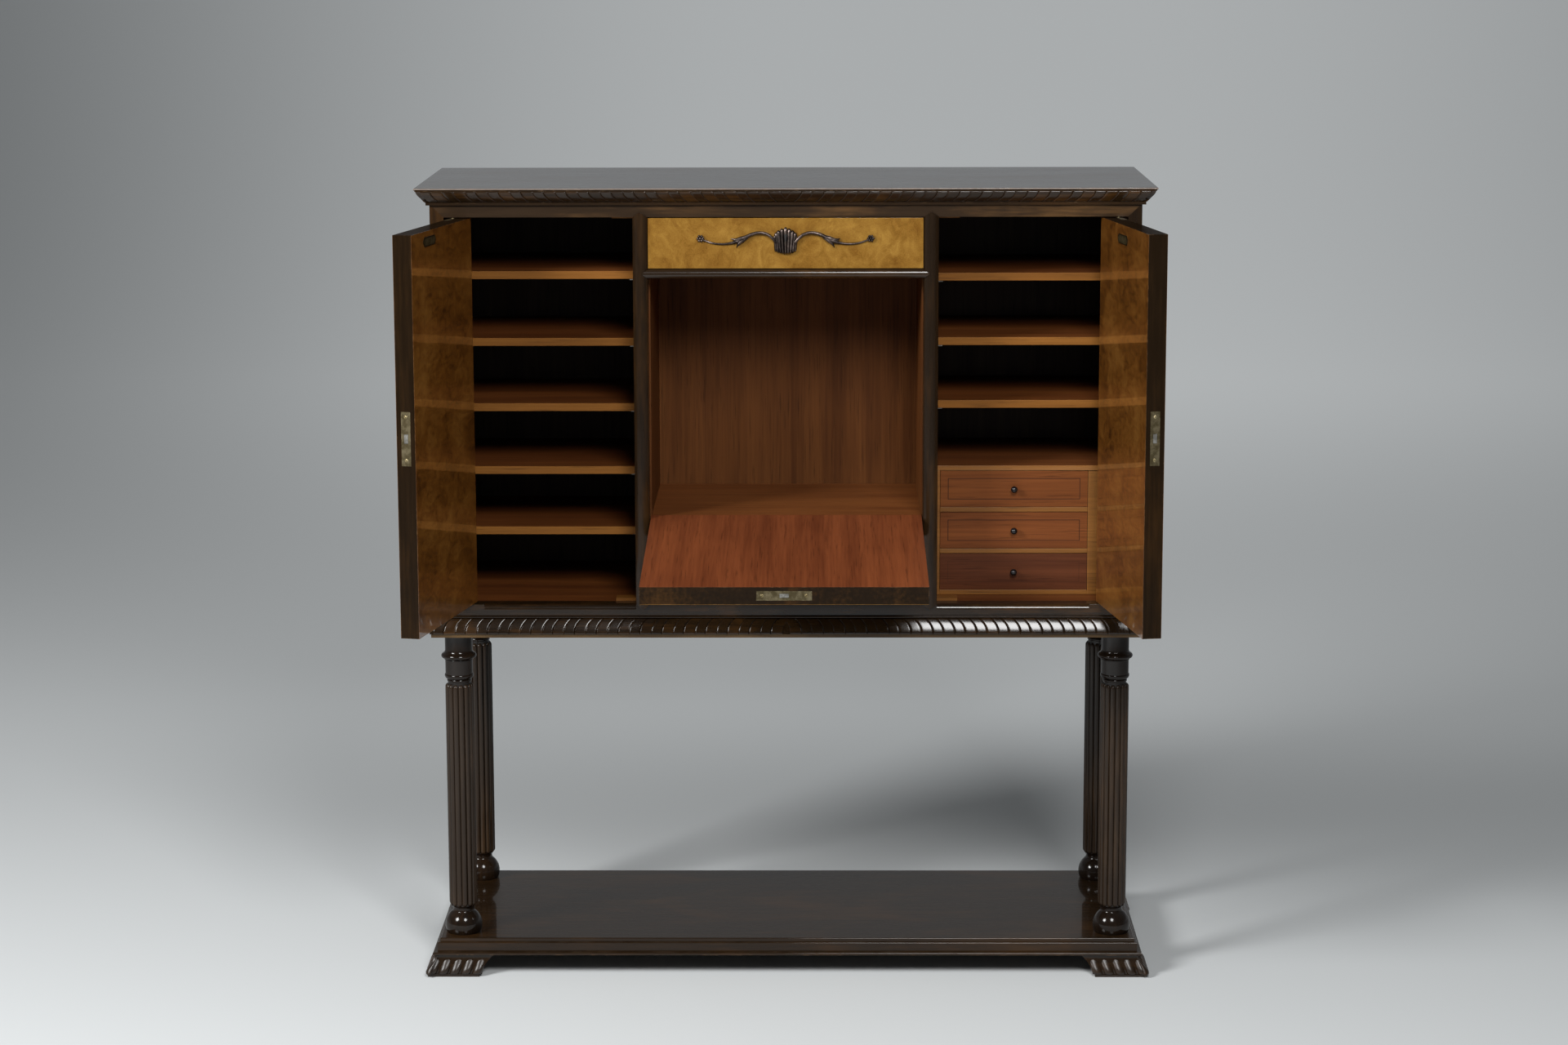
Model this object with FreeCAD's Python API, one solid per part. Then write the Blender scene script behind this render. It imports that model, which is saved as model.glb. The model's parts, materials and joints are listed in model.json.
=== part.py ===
"""Cabinet on a four-column stand: two doors, a fall flap, a top drawer and three small drawers.

Millimetres, +Z up, the front faces -Y. Everything is drawn with the face of the front
frame at y = 0, then moved so that the origin lies on the floor at the middle of the
open cabinet's outline. Doors and flap are drawn closed and swung to the open rest pose.
"""
import FreeCAD, Part
import math
import os

from FreeCAD import Vector

X_AXIS = Vector(1, 0, 0)
Y_AXIS = Vector(0, 1, 0)
Z_AXIS = Vector(0, 0, 1)

# Carcass, the driving sizes
carcass_width = 1134.0
carcass_depth = 390.0
opening_height = 629.0
middle_opening = 441.0
desk_height_above_floor_board = 142.5
drawer_opening_height = 83.0
inner_set = 80.0
threshold_depth = 30.0

# Boards of the carcass
side_thickness = 20.0
back_thickness = 8.0
bottom_thickness = 6.5
bottom_overhang = 10.0
floor_thickness = 15.0
sub_top_thickness = 23.5
top_thickness = 3.0
top_overhang = 21.0
top_side_overhang = 23.0
top_edge_round = 0.9
partition_thickness = 20.0
dust_board_thickness = 10.0

# Front frame
stile_width = 22.0
frame_depth = 24.0
top_rail_height = 21.0
threshold_face = 18.5
post_width = 23.5
post_round = 5.0
post_tip = 8.0
divider_height = 15.5
divider_round = 5.8
divider_tip = 9.0
apron_set = 1.0
apron_thickness = 20.0
apron_clearance = 0.3

# Mouldings
cornice_height = 25.0
cornice_reach = 21.5
cornice_foot = 5.5
cornice_fillet = 2.8
torus_height = 25.0
torus_reach = 14.0
torus_foot = 4.0
bead_height = 3.0
bead_reach = 5.5
mitre_overrun = 40.0

# Stand
foot_height = 36.5
foot_length = 102.0
foot_wall = 24.0
foot_side_splay = 12.0
foot_front_splay = 5.5
base_lower_height = 4.0
base_middle_height = 15.5
base_upper_height = 6.5
base_upper_overhang = 5.0
base_middle_step = 4.5
base_step = 12.0
base_edge_round = 1.5
base_front_extra = 3.5
leg_height = 506.5
leg_inset_x = 30.0
leg_inset_y = 33.0
leg_tenon_radius = 9.0
leg_tenon_base = 14.0
leg_tenon_top = 4.5
tenon_clearance = 0.2
ball_radius = 30.4
ball_height = 36.0
ball_widest_height = 12.5
ball_flat_radius = 27.7
neck_radius = 18.6
neck_height = 10.0
reed_radius = 23.2
reed_count = 14
reed_depth = 2.6
capital_gap = 8.0
small_ring_radius = 21.5
small_ring_height = 6.0
capital_radius = 22.4
capital_lower_height = 28.0
ring_radius = 28.7
ring_height = 14.0
capital_upper_height = 28.5

# Doors and their pivots
door_thickness = 30.0
door_gap = 1.2
door_free_gap = 1.7
door_end_gap = 2.0
door_edge_round = 2.0
pivot_inset = 13.8
pivot_depth = 5.0
left_door_angle = 102.0
right_door_angle = 99.3

# Fall flap
flap_thickness = 28.0
flap_gap = 1.5
flap_end_gap = 2.0
flap_tail = 10.5
flap_tail_round = 10.0
flap_rest_angle = 95.3
flap_cove_clearance = 0.8
stud_radius = 3.2
stud_height = 1.1
stud_shank_radius = 1.6
stud_shank_length = 6.0
stud_reach = 182.0

# Pivot hardware
leaf_length = 44.0
leaf_width = 9.0
leaf_thickness = 3.0
pin_radius = 3.0
pin_clearance = 0.05
pin_length = 7.0

# Locks
lock_plate_length = 84.0
lock_plate_width = 15.0
lock_plate_thickness = 2.5
lock_case_length = 60.0
lock_case_depth = 42.0
lock_case_thickness = 10.0
bolt_width = 14.0
bolt_thickness = 6.0
bolt_length = 32.0
bolt_travel = 8.0
bolt_clearance = 0.3
bolt_set = 0.3
mortise_clearance = 1.0
escutcheon_height = 36.0
escutcheon_width = 24.0
escutcheon_thickness = 2.5
key_radius = 2.4
key_slot = 2.6
key_drop = 8.0

# Interior of the middle bay
lining_thickness = 4.0
interior_floor_thickness = 12.0
interior_back_thickness = 6.0
interior_back_gap = 41.0
lining_front_gap = 1.0

# Shelves
shelf_thickness = 13.0
shelf_gap = 0.5
shelf_back_gap = 4.0
left_shelf_shares = (0.1816, 0.341, 0.5064, 0.6766, 0.85)
right_shelf_shares = (0.5137, 0.6774, 0.8444)
peg_radius = 2.0
peg_reach = 12.0
peg_depth = 10.0
peg_clearance = 0.05
peg_front_set = 18.0
peg_back_set = 45.0

# Door stops
stop_length = 36.0
stop_depth = 25.0
stop_height = 4.5
stop_gap = 0.5

# Small drawers and the case that holds them
case_left_thickness = 8.75
case_right_thickness = 10.0
case_top_thickness = 8.1
case_floor_thickness = 8.3
case_runner_thickness = 8.0
case_height = 215.0
filler_thickness = 16.0
filler_width = 44.0
small_drawer_rows = 3
small_front_thickness = 12.0
small_front_gap = 0.6
small_box_wall = 6.0
small_box_bottom = 4.0
small_box_height = 44.0
small_box_back_gap = 20.0
run_gap = 0.3
side_gap = 0.8
knob_radius = 5.6
knob_stem_radius = 2.6
knob_stem_length = 2.4
knob_shank_radius = 1.5
knob_shank_length = 9.0

# Top drawer
drawer_front_thickness = 20.0
drawer_front_gap = 1.0
drawer_top_gap = 1.5
drawer_wall = 9.0
drawer_bottom = 5.0
drawer_box_height = 68.0
drawer_box_back_gap = 42.0

# Shell handle of the top drawer
shell_half_width = 19.0
shell_half_height = 23.0
shell_rise = 7.0
handle_rise = 5.0
arm_start = 15.0
arm_peak_out = 42.7
arm_peak_up = 16.5
arm_low_out = 101.0
arm_low_down = 1.5
arm_end_out = 132.0
arm_radius = 2.8
arm_ball_radius = 5.2

# One overrun serves all cuts
overrun = 5.0
level_tolerance = 0.01

# Levels and places that follow from the sizes above
half_width = carcass_width / 2
base_bottom_z = foot_height
base_top_z = base_bottom_z + base_lower_height + base_middle_height + base_upper_height
bottom_z = base_top_z + leg_height
plinth_z = bottom_z + bottom_thickness
torus_top_z = plinth_z + torus_height
threshold_z = torus_top_z + bead_height + threshold_face
floor_z = threshold_z
rail_z = threshold_z + opening_height
frame_top_z = rail_z + top_rail_height
top_board_z = frame_top_z + sub_top_thickness
top_z = top_board_z + top_thickness
stile_x = half_width - stile_width
side_x = half_width - side_thickness
post_x = middle_opening / 2
post_far_x = post_x + post_width
partition_far_x = post_far_x - (post_width - partition_thickness) / 2
partition_x = partition_far_x - partition_thickness
bay_depth_y = carcass_depth - back_thickness
stop_back_y = door_thickness + stop_gap + stop_depth
drawer_z = rail_z - drawer_opening_height
divider_z = drawer_z - divider_height
dust_z = drawer_z - dust_board_thickness
desk_z = floor_z + desk_height_above_floor_board
flap_pivot_y = flap_thickness / 2
flap_pivot_z = desk_z - flap_thickness / 2
flap_top_z = divider_z - flap_end_gap
flap_half = post_x - flap_gap
flap_swing = math.hypot(flap_thickness / 2, max(flap_tail, flap_thickness / 2))
cove_radius = flap_swing + flap_cove_clearance
lining_y = flap_pivot_y + cove_radius + lining_front_gap
lining_x = partition_x - lining_thickness
desk_back_y = bay_depth_y - interior_back_gap - interior_back_thickness
door_hinge_x = stile_x - door_gap
door_free_x = post_far_x + door_free_gap
door_pivot_x = door_hinge_x - pivot_inset
door_bottom_z = threshold_z + door_end_gap
door_top_z = rail_z - door_end_gap
lock_z = (door_bottom_z + door_top_z) / 2
leg_x = half_width - leg_inset_x

# The open flap reaches furthest to the front, and the top board furthest to the back
flap_angle = math.radians(flap_rest_angle)
flap_reach = (flap_top_z - flap_pivot_z) * math.sin(flap_angle) - flap_pivot_y * math.cos(flap_angle)
outline_front_y = flap_pivot_y - flap_reach
outline_back_y = carcass_depth + top_overhang
origin_shift = Vector(0, -(outline_front_y + outline_back_y) / 2, 0)


def save(name, *shapes):
    """Write one node: its solids together, moved to the part's origin."""
    shape = shapes[0].copy() if len(shapes) == 1 else Part.makeCompound([s.copy() for s in shapes])
    shape.translate(origin_shift)
    shape.exportStep("parts/" + name + ".step")


def box(x0, x1, y0, y1, z0, z1):
    """A board between two corners."""
    return Part.makeBox(x1 - x0, y1 - y0, z1 - z0, Vector(x0, y0, z0))


def mirrored(shape):
    """The same piece on the other side of the middle plane."""
    return shape.mirror(Vector(0, 0, 0), X_AXIS)


def prism(points, run):
    """A flat outline of straight sides, drawn out along a vector."""
    return Part.Face(Part.makePolygon(list(points) + [points[0]])).extrude(run)


def rod(radius, start, run):
    """A round pin from a point along a vector."""
    return Part.makeCylinder(radius, run.Length, start, run)


def edges_along(shape, axis, test):
    """The straight edges of a solid that run along an axis and pass a test of their middle."""
    found = []
    for edge in shape.Edges:
        a, b = edge.Vertexes[0].Point, edge.Vertexes[-1].Point
        run = b - a
        if run.Length > 0 and abs(run.dot(axis)) > run.Length * math.cos(math.radians(1)):
            if test((a + b) / 2):
                found.append(edge)
    return found


def turned(outline):
    """A solid of revolution about Z from edges in the XZ plane."""
    return Part.Face(Part.Wire(outline)).revolve(Vector(0, 0, 0), Z_AXIS, 360)


def line(r0, z0, r1, z1):
    """A straight stretch of a turned outline."""
    return Part.LineSegment(Vector(r0, 0, z0), Vector(r1, 0, z1)).toShape()


def bow(r0, z0, r1, z1, r2, z2):
    """An arc of a turned outline through three points."""
    return Part.Arc(Vector(r0, 0, z0), Vector(r1, 0, z1), Vector(r2, 0, z2)).toShape()


# Base board, feet and legs


def base_half(step):
    """Half width of the base board at one of its steps."""
    return half_width + base_upper_overhang + step


def base_front(step):
    """How far the base board stands in front of the frame at a step."""
    return -(base_upper_overhang + base_front_extra + step)


def base_slab(step, z0, z1):
    """One step of the base board, rounded along its upper edge."""
    half = base_half(step)
    front = base_front(step)
    slab = box(-half, half, front, carcass_depth - front, z0, z1)
    rim = [e for e in slab.Edges if min(e.Vertexes[0].Z, e.Vertexes[-1].Z) > z1 - level_tolerance]
    return slab.makeFillet(base_edge_round, rim)


def leg_places():
    """The four leg axes, named by their corner."""
    rear_y = carcass_depth - leg_inset_y
    return {
        "front_left": Vector(-leg_x, leg_inset_y, 0),
        "front_right": Vector(leg_x, leg_inset_y, 0),
        "rear_left": Vector(-leg_x, rear_y, 0),
        "rear_right": Vector(leg_x, rear_y, 0),
    }


def make_base_board():
    """Three stepped slabs in one board, with a socket for each leg's tenon."""
    middle_z = base_bottom_z + base_lower_height
    upper_z = middle_z + base_middle_height
    slabs = [base_slab(base_middle_step, middle_z, upper_z), base_slab(0, upper_z, base_top_z)]
    board = base_slab(base_step, base_bottom_z, middle_z).fuse(slabs)
    for place in leg_places().values():
        seat = place + Vector(0, 0, base_top_z - leg_tenon_base - tenon_clearance)
        drill = Vector(0, 0, leg_tenon_base + tenon_clearance + overrun)
        board = board.cut(rod(leg_tenon_radius + tenon_clearance, seat, drill))
    return board.removeSplitter()


def foot_section(z, length, out):
    """The L-shaped outline of the front left foot at one level, seen from above."""
    side = foot_side_splay * out
    front = foot_front_splay * out
    corner = Vector(-base_half(base_step) - side, base_front(base_step) - front, z)
    points = [
        corner,
        corner + Vector(side + length, 0, 0),
        corner + Vector(side + length, foot_wall, 0),
        corner + Vector(foot_wall, foot_wall, 0),
        corner + Vector(foot_wall, front + length, 0),
        corner + Vector(0, front + length, 0),
    ]
    return Part.makePolygon(points + [points[0]])


foot_height_shares = (0.0, 0.16, 0.5, 0.8, 1.0)
foot_length_shares = (0.80, 0.78, 0.80, 0.87, 1.0)
foot_splay_shares = (1.0, 1.0, 0.62, 0.25, 0.0)


def make_foot():
    """Front left bracket foot: splayed outwards to the floor, hollow at its inner ends."""
    sections = []
    for up, along, out in zip(foot_height_shares, foot_length_shares, foot_splay_shares):
        sections.append(foot_section(foot_height * up, foot_length * along, out))
    return Part.makeLoft(sections, True, True)


def make_rear_foot():
    """Rear left foot: the front foot turned about, with its back flush with the base board."""
    foot = make_foot().mirror(Vector(0, carcass_depth / 2, 0), Y_AXIS)
    limit = carcass_depth - base_front(base_step)
    half = base_half(base_step) + foot_side_splay
    keep = box(-half - overrun, 0, 0, limit, -overrun, foot_height + overrun)
    return foot.common(keep)


def reeded_prism(z0, z1):
    """The column's ring of convex reeds."""
    valley = reed_radius - reed_depth
    edges = []
    for i in range(reed_count):
        spots = []
        for step, radius in ((0.0, valley), (0.5, reed_radius), (1.0, valley)):
            angle = 2 * math.pi * (i + step) / reed_count
            spots.append(Vector(radius * math.cos(angle), radius * math.sin(angle), z0))
        edges.append(Part.Arc(*spots).toShape())
    return Part.Face(Part.Wire(edges)).extrude(Vector(0, 0, z1 - z0))


def make_leg():
    """One turned leg on its own axis: ball, reeded column, rings, capital and tenons."""
    foot = base_top_z
    ball_top = foot + ball_height
    reed_low = ball_top + neck_height
    upper_low = bottom_z - capital_upper_height
    ring_low = upper_low - ring_height
    lower_low = ring_low - capital_lower_height
    small_low = lower_low - small_ring_height
    reed_top = small_low - capital_gap
    valley = reed_radius - reed_depth
    ring_mid = ring_low + ring_height / 2
    small_mid = small_low + small_ring_height / 2
    outline = [
        line(0, foot, ball_flat_radius, foot),
        bow(ball_flat_radius, foot, ball_radius, foot + ball_widest_height, neck_radius, ball_top),
        line(neck_radius, ball_top, neck_radius, reed_low),
        line(neck_radius, reed_low, valley, reed_low),
        line(valley, reed_low, valley, reed_top),
        line(valley, reed_top, neck_radius, reed_top),
        line(neck_radius, reed_top, neck_radius, small_low),
        bow(neck_radius, small_low, small_ring_radius, small_mid, neck_radius, lower_low),
        line(neck_radius, lower_low, capital_radius, lower_low),
        line(capital_radius, lower_low, capital_radius, ring_low),
        bow(capital_radius, ring_low, ring_radius, ring_mid, capital_radius, upper_low),
        line(capital_radius, upper_low, capital_radius, bottom_z),
        line(capital_radius, bottom_z, 0, bottom_z),
        line(0, bottom_z, 0, foot),
    ]
    leg = turned(outline).fuse(reeded_prism(reed_low, reed_top))
    lower = rod(leg_tenon_radius, Vector(0, 0, foot - leg_tenon_base), Vector(0, 0, leg_tenon_base))
    upper = rod(leg_tenon_radius, Vector(0, 0, bottom_z), Vector(0, 0, leg_tenon_top))
    return leg.fuse([lower, upper]).removeSplitter()


# Carcass boards


def make_bottom_board():
    """Bottom board with a socket for the tenon on each leg's top."""
    half = half_width + bottom_overhang
    board = box(-half, half, -bottom_overhang, carcass_depth, bottom_z, plinth_z)
    for place in leg_places().values():
        seat = place + Vector(0, 0, bottom_z - overrun)
        drill = Vector(0, 0, overrun + leg_tenon_top + tenon_clearance)
        board = board.cut(rod(leg_tenon_radius + tenon_clearance, seat, drill))
    return board


def make_top_board():
    """Thin moulded top with a softened edge."""
    half = half_width + top_side_overhang
    board = box(-half, half, -top_overhang, carcass_depth + top_overhang, top_board_z, top_z)
    rim = [e for e in board.Edges if abs(e.Vertexes[0].Z - e.Vertexes[-1].Z) < level_tolerance]
    return board.makeFillet(top_edge_round, rim)


def shelf_levels(shares):
    """Heights of the shelves' tops in one bay."""
    return [floor_z + (rail_z - floor_z) * share for share in shares]


def peg_places(shares):
    """Where the pegs under a bay's shelves sit, as (y, z) pairs."""
    places = []
    for level in shelf_levels(shares):
        for y in (inner_set + peg_front_set, bay_depth_y - peg_back_set):
            places.append((y, level - shelf_thickness - peg_radius))
    return places


def bay_pegs(shares, radius, deeper):
    """All pegs of the right-hand bay: they reach out of the partition and out of the side."""
    pegs = []
    depth = peg_depth + deeper
    for y, z in peg_places(shares):
        pegs.append(rod(radius, Vector(partition_far_x - depth, y, z), Vector(depth + peg_reach, 0, 0)))
        pegs.append(rod(radius, Vector(side_x - peg_reach, y, z), Vector(depth + peg_reach, 0, 0)))
    return pegs


def peg_drills(shares):
    """Holes for a bay's pegs."""
    return Part.makeCompound(bay_pegs(shares, peg_radius + peg_clearance, peg_clearance))


def make_side(shares):
    """Right-hand side board of the carcass."""
    board = box(side_x, half_width, frame_depth, carcass_depth, plinth_z, frame_top_z)
    return board.cut(peg_drills(shares))


def make_partition(shares):
    """Right-hand upright between two bays."""
    board = box(partition_x, partition_far_x, frame_depth, bay_depth_y, floor_z, frame_top_z)
    rail = box(-half_width, half_width, 0, stop_back_y, rail_z, frame_top_z)
    return board.cut(rail).cut(peg_drills(shares))


# Front frame


def stile_outline():
    """Right-hand stile with the mitre at its top."""
    return [
        Vector(stile_x, 0, threshold_z),
        Vector(half_width, 0, threshold_z),
        Vector(half_width, 0, frame_top_z),
        Vector(stile_x, 0, rail_z),
    ]


def make_stile():
    """Right-hand stile of the front frame."""
    return prism(stile_outline(), Vector(0, frame_depth, 0))


def make_top_rail():
    """Top rail, mitred to the stiles, with pockets for the upper pivots and the drawer's bolt."""
    outline = [
        Vector(-half_width, 0, frame_top_z),
        Vector(half_width, 0, frame_top_z),
        Vector(stile_x, 0, rail_z),
        Vector(-stile_x, 0, rail_z),
    ]
    rail = prism(outline, Vector(0, frame_depth, 0))
    rail = rail.fuse(box(-side_x, side_x, frame_depth, stop_back_y, rail_z, frame_top_z))
    for pocket in upper_pivot_pockets():
        rail = rail.cut(pocket)
    return rail.cut(drawer_bolt_mortise()).removeSplitter()


def make_threshold():
    """Threshold rail and the plinth front behind the torus, with pockets for the lower pivots."""
    rail = box(-half_width, half_width, 0, threshold_depth, plinth_z, threshold_z)
    notch = box(side_x, half_width, frame_depth, threshold_depth, plinth_z, threshold_z)
    rail = rail.cut(notch).cut(mirrored(notch))
    for pocket in lower_pivot_pockets():
        rail = rail.cut(pocket)
    return rail


def swelled_bar(a, b, reach, depth, run):
    """A bar with a rounded front: from side a to side b, drawn out along a vector."""
    middle = (a + b) / 2 - Y_AXIS * reach
    back = Y_AXIS * depth
    outline = [Part.Arc(a, middle, b).toShape()]
    for p, q in ((b, b + back), (b + back, a + back), (a + back, a)):
        outline.append(Part.LineSegment(p, q).toShape())
    return Part.Face(Part.Wire(outline)).extrude(run)


def round_strip(a, b, reach, run):
    """Only the rounded front of such a bar."""
    middle = (a + b) / 2 - Y_AXIS * reach
    outline = [Part.Arc(a, middle, b).toShape(), Part.LineSegment(b, a).toShape()]
    return Part.Face(Part.Wire(outline)).extrude(run)


def make_post():
    """Right-hand front post: rounded face, pointed tips over the rails, bolt mortise and pivot pocket."""
    left = Vector(post_x, 0, threshold_z)
    right = Vector(post_far_x, 0, threshold_z)
    height = Vector(0, 0, rail_z - threshold_z)
    post = swelled_bar(left, right, post_round, frame_depth, height)
    middle_x = (post_x + post_far_x) / 2
    for start_z, tip in ((rail_z, post_tip), (threshold_z, -post_tip)):
        a = Vector(post_x, 0, start_z)
        b = Vector(post_far_x, 0, start_z)
        strip = round_strip(a, b, post_round, Vector(0, 0, tip))
        point = [Vector(v.x, -post_round - overrun, v.z) for v in (a, b)]
        point.append(Vector(middle_x, -post_round - overrun, start_z + tip))
        post = post.fuse(strip.common(prism(point, Vector(0, post_round + overrun, 0))))
    post = post.cut(door_bolt_mortise())
    return post.cut(flap_plate_pocket()).removeSplitter()


def make_divider(posts):
    """Rounded rail under the top drawer, its pointed ends lying on the posts."""
    low = Vector(-post_x, 0, divider_z)
    high = Vector(-post_x, 0, drawer_z)
    rail = swelled_bar(low, high, divider_round, frame_depth, Vector(middle_opening, 0, 0))
    middle_z = (divider_z + drawer_z) / 2
    for sign in (-1, 1):
        a = Vector(sign * post_x, 0, divider_z)
        b = Vector(sign * post_x, 0, drawer_z)
        strip = round_strip(a, b, divider_round, Vector(sign * divider_tip, 0, 0))
        point = [Vector(v.x, -divider_round - overrun, v.z) for v in (a, b)]
        point.append(Vector(sign * (post_x + divider_tip), -divider_round - overrun, middle_z))
        tip = strip.common(prism(point, Vector(0, divider_round + overrun, 0)))
        for post in posts:
            tip = tip.cut(post)
        rail = rail.fuse(tip)
    return rail.cut(flap_bolt_mortise()).removeSplitter()


def make_apron():
    """Fixed panel below the flap: the open flap's underside lands on its upper front edge."""
    reach = flap_pivot_y - apron_set
    tilt = flap_angle - math.pi / 2
    drop = (flap_thickness / 2 + reach * math.sin(tilt)) / math.cos(tilt)
    apron_top_z = flap_pivot_z - drop - apron_clearance
    return box(-post_x, post_x, apron_set, apron_set + apron_thickness, threshold_z, apron_top_z)


# Mouldings that run round the front and both sides


def moulding_runs(profile):
    """Front, left and right runs of a moulding, mitred at the front corners.

    The profile is a list of (kind, points) with points as (out, z) from the carcass face.
    """
    def outline(to_point):
        edges = []
        for kind, points in profile:
            spots = [to_point(out, z) for out, z in points]
            if kind == "arc":
                edges.append(Part.Arc(*spots).toShape())
            else:
                edges.append(Part.LineSegment(*spots).toShape())
        return Part.Face(Part.Wire(edges))

    far = half_width + mitre_overrun
    low = bottom_z
    tall = Vector(0, 0, top_z - bottom_z)
    front = outline(lambda out, z: Vector(-far, -out, z)).extrude(Vector(2 * far, 0, 0))
    front_zone = [
        Vector(-half_width, 0, low),
        Vector(half_width, 0, low),
        Vector(far, -mitre_overrun, low),
        Vector(-far, -mitre_overrun, low),
    ]
    front = front.common(prism(front_zone, tall))
    length = Vector(0, carcass_depth + mitre_overrun, 0)
    right = outline(lambda out, z: Vector(half_width + out, -mitre_overrun, z)).extrude(length)
    side_zone = [
        Vector(half_width, 0, low),
        Vector(far, -mitre_overrun, low),
        Vector(far, carcass_depth, low),
        Vector(half_width, carcass_depth, low),
    ]
    right = right.common(prism(side_zone, tall))
    return front, mirrored(right), right


def make_cornice():
    """Convex moulding below the top board, with a fillet above and below."""
    low = top_board_z - cornice_height
    high = top_board_z
    inner = cornice_reach - cornice_fillet / 2
    arc_low = (cornice_foot, low + cornice_fillet)
    arc_high = (inner, high - cornice_fillet)
    swell = (arc_high[0] - arc_low[0]) * (1 - math.sqrt(0.5))
    rise = (arc_high[1] - arc_low[1]) * (1 - math.sqrt(0.5))
    arc_middle = (inner - swell, low + cornice_fillet + rise)
    return moulding_runs([
        ("line", ((0, low), (cornice_foot, low))),
        ("line", ((cornice_foot, low), arc_low)),
        ("arc", (arc_low, arc_middle, arc_high)),
        ("line", (arc_high, (cornice_reach, high - cornice_fillet))),
        ("line", ((cornice_reach, high - cornice_fillet), (cornice_reach, high))),
        ("line", ((cornice_reach, high), (0, high))),
        ("line", ((0, high), (0, low))),
    ])


def make_torus():
    """Large half-round moulding at the foot of the cabinet, with a small bead above it."""
    low = plinth_z
    high = torus_top_z
    bead_top = high + bead_height
    return moulding_runs([
        ("line", ((0, low), (torus_foot, low))),
        ("arc", ((torus_foot, low), (torus_reach, (low + high) / 2), (torus_foot, high))),
        ("arc", ((torus_foot, high), (bead_reach, high + bead_height / 2), (torus_foot, bead_top))),
        ("line", ((torus_foot, bead_top), (0, bead_top))),
        ("line", ((0, bead_top), (0, low))),
    ])


# Pivot hardware: a plate with a pin in the frame, a leaf with a hole in what swings


def flat_leaf(centre, along, across, normal, thickness):
    """A rectangular leaf that lies on a plane, its face through the centre point."""
    a = along * (leaf_length / 2)
    b = across * (leaf_width / 2)
    corners = [centre - a - b, centre + a - b, centre + a + b, centre - a + b]
    return prism(corners, normal * thickness)


def pivot_pin(centre, normal):
    """The pin that stands out of a fixed plate."""
    return rod(pin_radius, centre, normal * pin_length)


def door_plate_centres():
    """Face centres of the right-hand door's fixed plates, with the way their pins point."""
    x = door_pivot_x - leaf_length / 2 + leaf_width / 2
    return [(Vector(x, pivot_depth, rail_z), Z_AXIS * -1), (Vector(x, pivot_depth, threshold_z), Z_AXIS)]


def fixed_door_plates():
    """Both fixed plates of the right-hand door, let into the rails, each with its pin."""
    plates = []
    for centre, normal in door_plate_centres():
        plate = flat_leaf(centre, X_AXIS, Y_AXIS, normal * -1, leaf_thickness)
        pivot = Vector(door_pivot_x, pivot_depth, centre.z)
        plates.append(plate.fuse(pivot_pin(pivot, normal)))
    return plates


def plate_pockets(index):
    """Pockets in a rail for the fixed plates of both doors."""
    centre, normal = door_plate_centres()[index]
    pocket = flat_leaf(centre, X_AXIS, Y_AXIS, normal * -1, leaf_thickness)
    return [pocket, mirrored(pocket)]


def upper_pivot_pockets():
    """Pockets in the top rail."""
    return plate_pockets(0)


def lower_pivot_pockets():
    """Pockets in the threshold."""
    return plate_pockets(1)


def door_leaves(clearance):
    """Both moving leaves of the right-hand door, drilled for the pins."""
    leaves = []
    for z, normal in ((door_top_z, Z_AXIS * -1), (door_bottom_z, Z_AXIS)):
        x = door_pivot_x - leaf_length / 2 + leaf_width / 2
        leaf = flat_leaf(Vector(x, pivot_depth, z), X_AXIS, Y_AXIS, normal, leaf_thickness)
        if clearance:
            start = Vector(door_pivot_x, pivot_depth, z) - normal * overrun
            leaf = leaf.cut(rod(pin_radius + clearance, start, normal * (leaf_thickness + 2 * overrun)))
        leaves.append(leaf)
    return leaves


def door_pin_wells():
    """Wells behind the leaves, where the pins' ends turn."""
    wells = []
    for z, normal in ((door_top_z, Z_AXIS * -1), (door_bottom_z, Z_AXIS)):
        start = Vector(door_pivot_x, pivot_depth, z)
        wells.append(rod(pin_radius + tenon_clearance, start, normal * (pin_length + tenon_clearance)))
    return wells


def flap_plate(with_pin):
    """Fixed plate of the flap in the right-hand post."""
    centre = Vector(post_x, flap_pivot_y, flap_pivot_z)
    plate = flat_leaf(centre, Z_AXIS, Y_AXIS, X_AXIS, leaf_thickness)
    if with_pin:
        plate = plate.fuse(pivot_pin(centre, X_AXIS * -1))
    return plate


def flap_plate_pocket():
    """Pocket in the post for that plate."""
    return flap_plate(False)


def flap_leaf(clearance):
    """Moving leaf in the flap's right-hand edge, drilled for the pin."""
    z = flap_pivot_z - flap_tail / 2 + leaf_length / 2
    centre = Vector(flap_half, flap_pivot_y, z)
    leaf = flat_leaf(centre, Z_AXIS, Y_AXIS, X_AXIS * -1, leaf_thickness)
    if clearance:
        start = Vector(flap_half + overrun, flap_pivot_y, flap_pivot_z)
        leaf = leaf.cut(rod(pin_radius + clearance, start, X_AXIS * -(leaf_thickness + 2 * overrun)))
    return leaf


def flap_pin_well():
    """Well in the flap's edge where the pin's end turns."""
    start = Vector(flap_half, flap_pivot_y, flap_pivot_z)
    return rod(pin_radius + tenon_clearance, start, X_AXIS * -(pin_length + tenon_clearance))


# Locks: a case with an edge plate, a sliding bolt and an escutcheon on the face


def lock_block(length, width, depth, face, out, along):
    """A block that is centred on a face point and goes back from it."""
    across = out.cross(along)
    a = along * (length / 2)
    b = across * (width / 2)
    corners = [face - a - b, face + a - b, face + a + b, face - a + b]
    return prism(corners, out * -depth)


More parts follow.
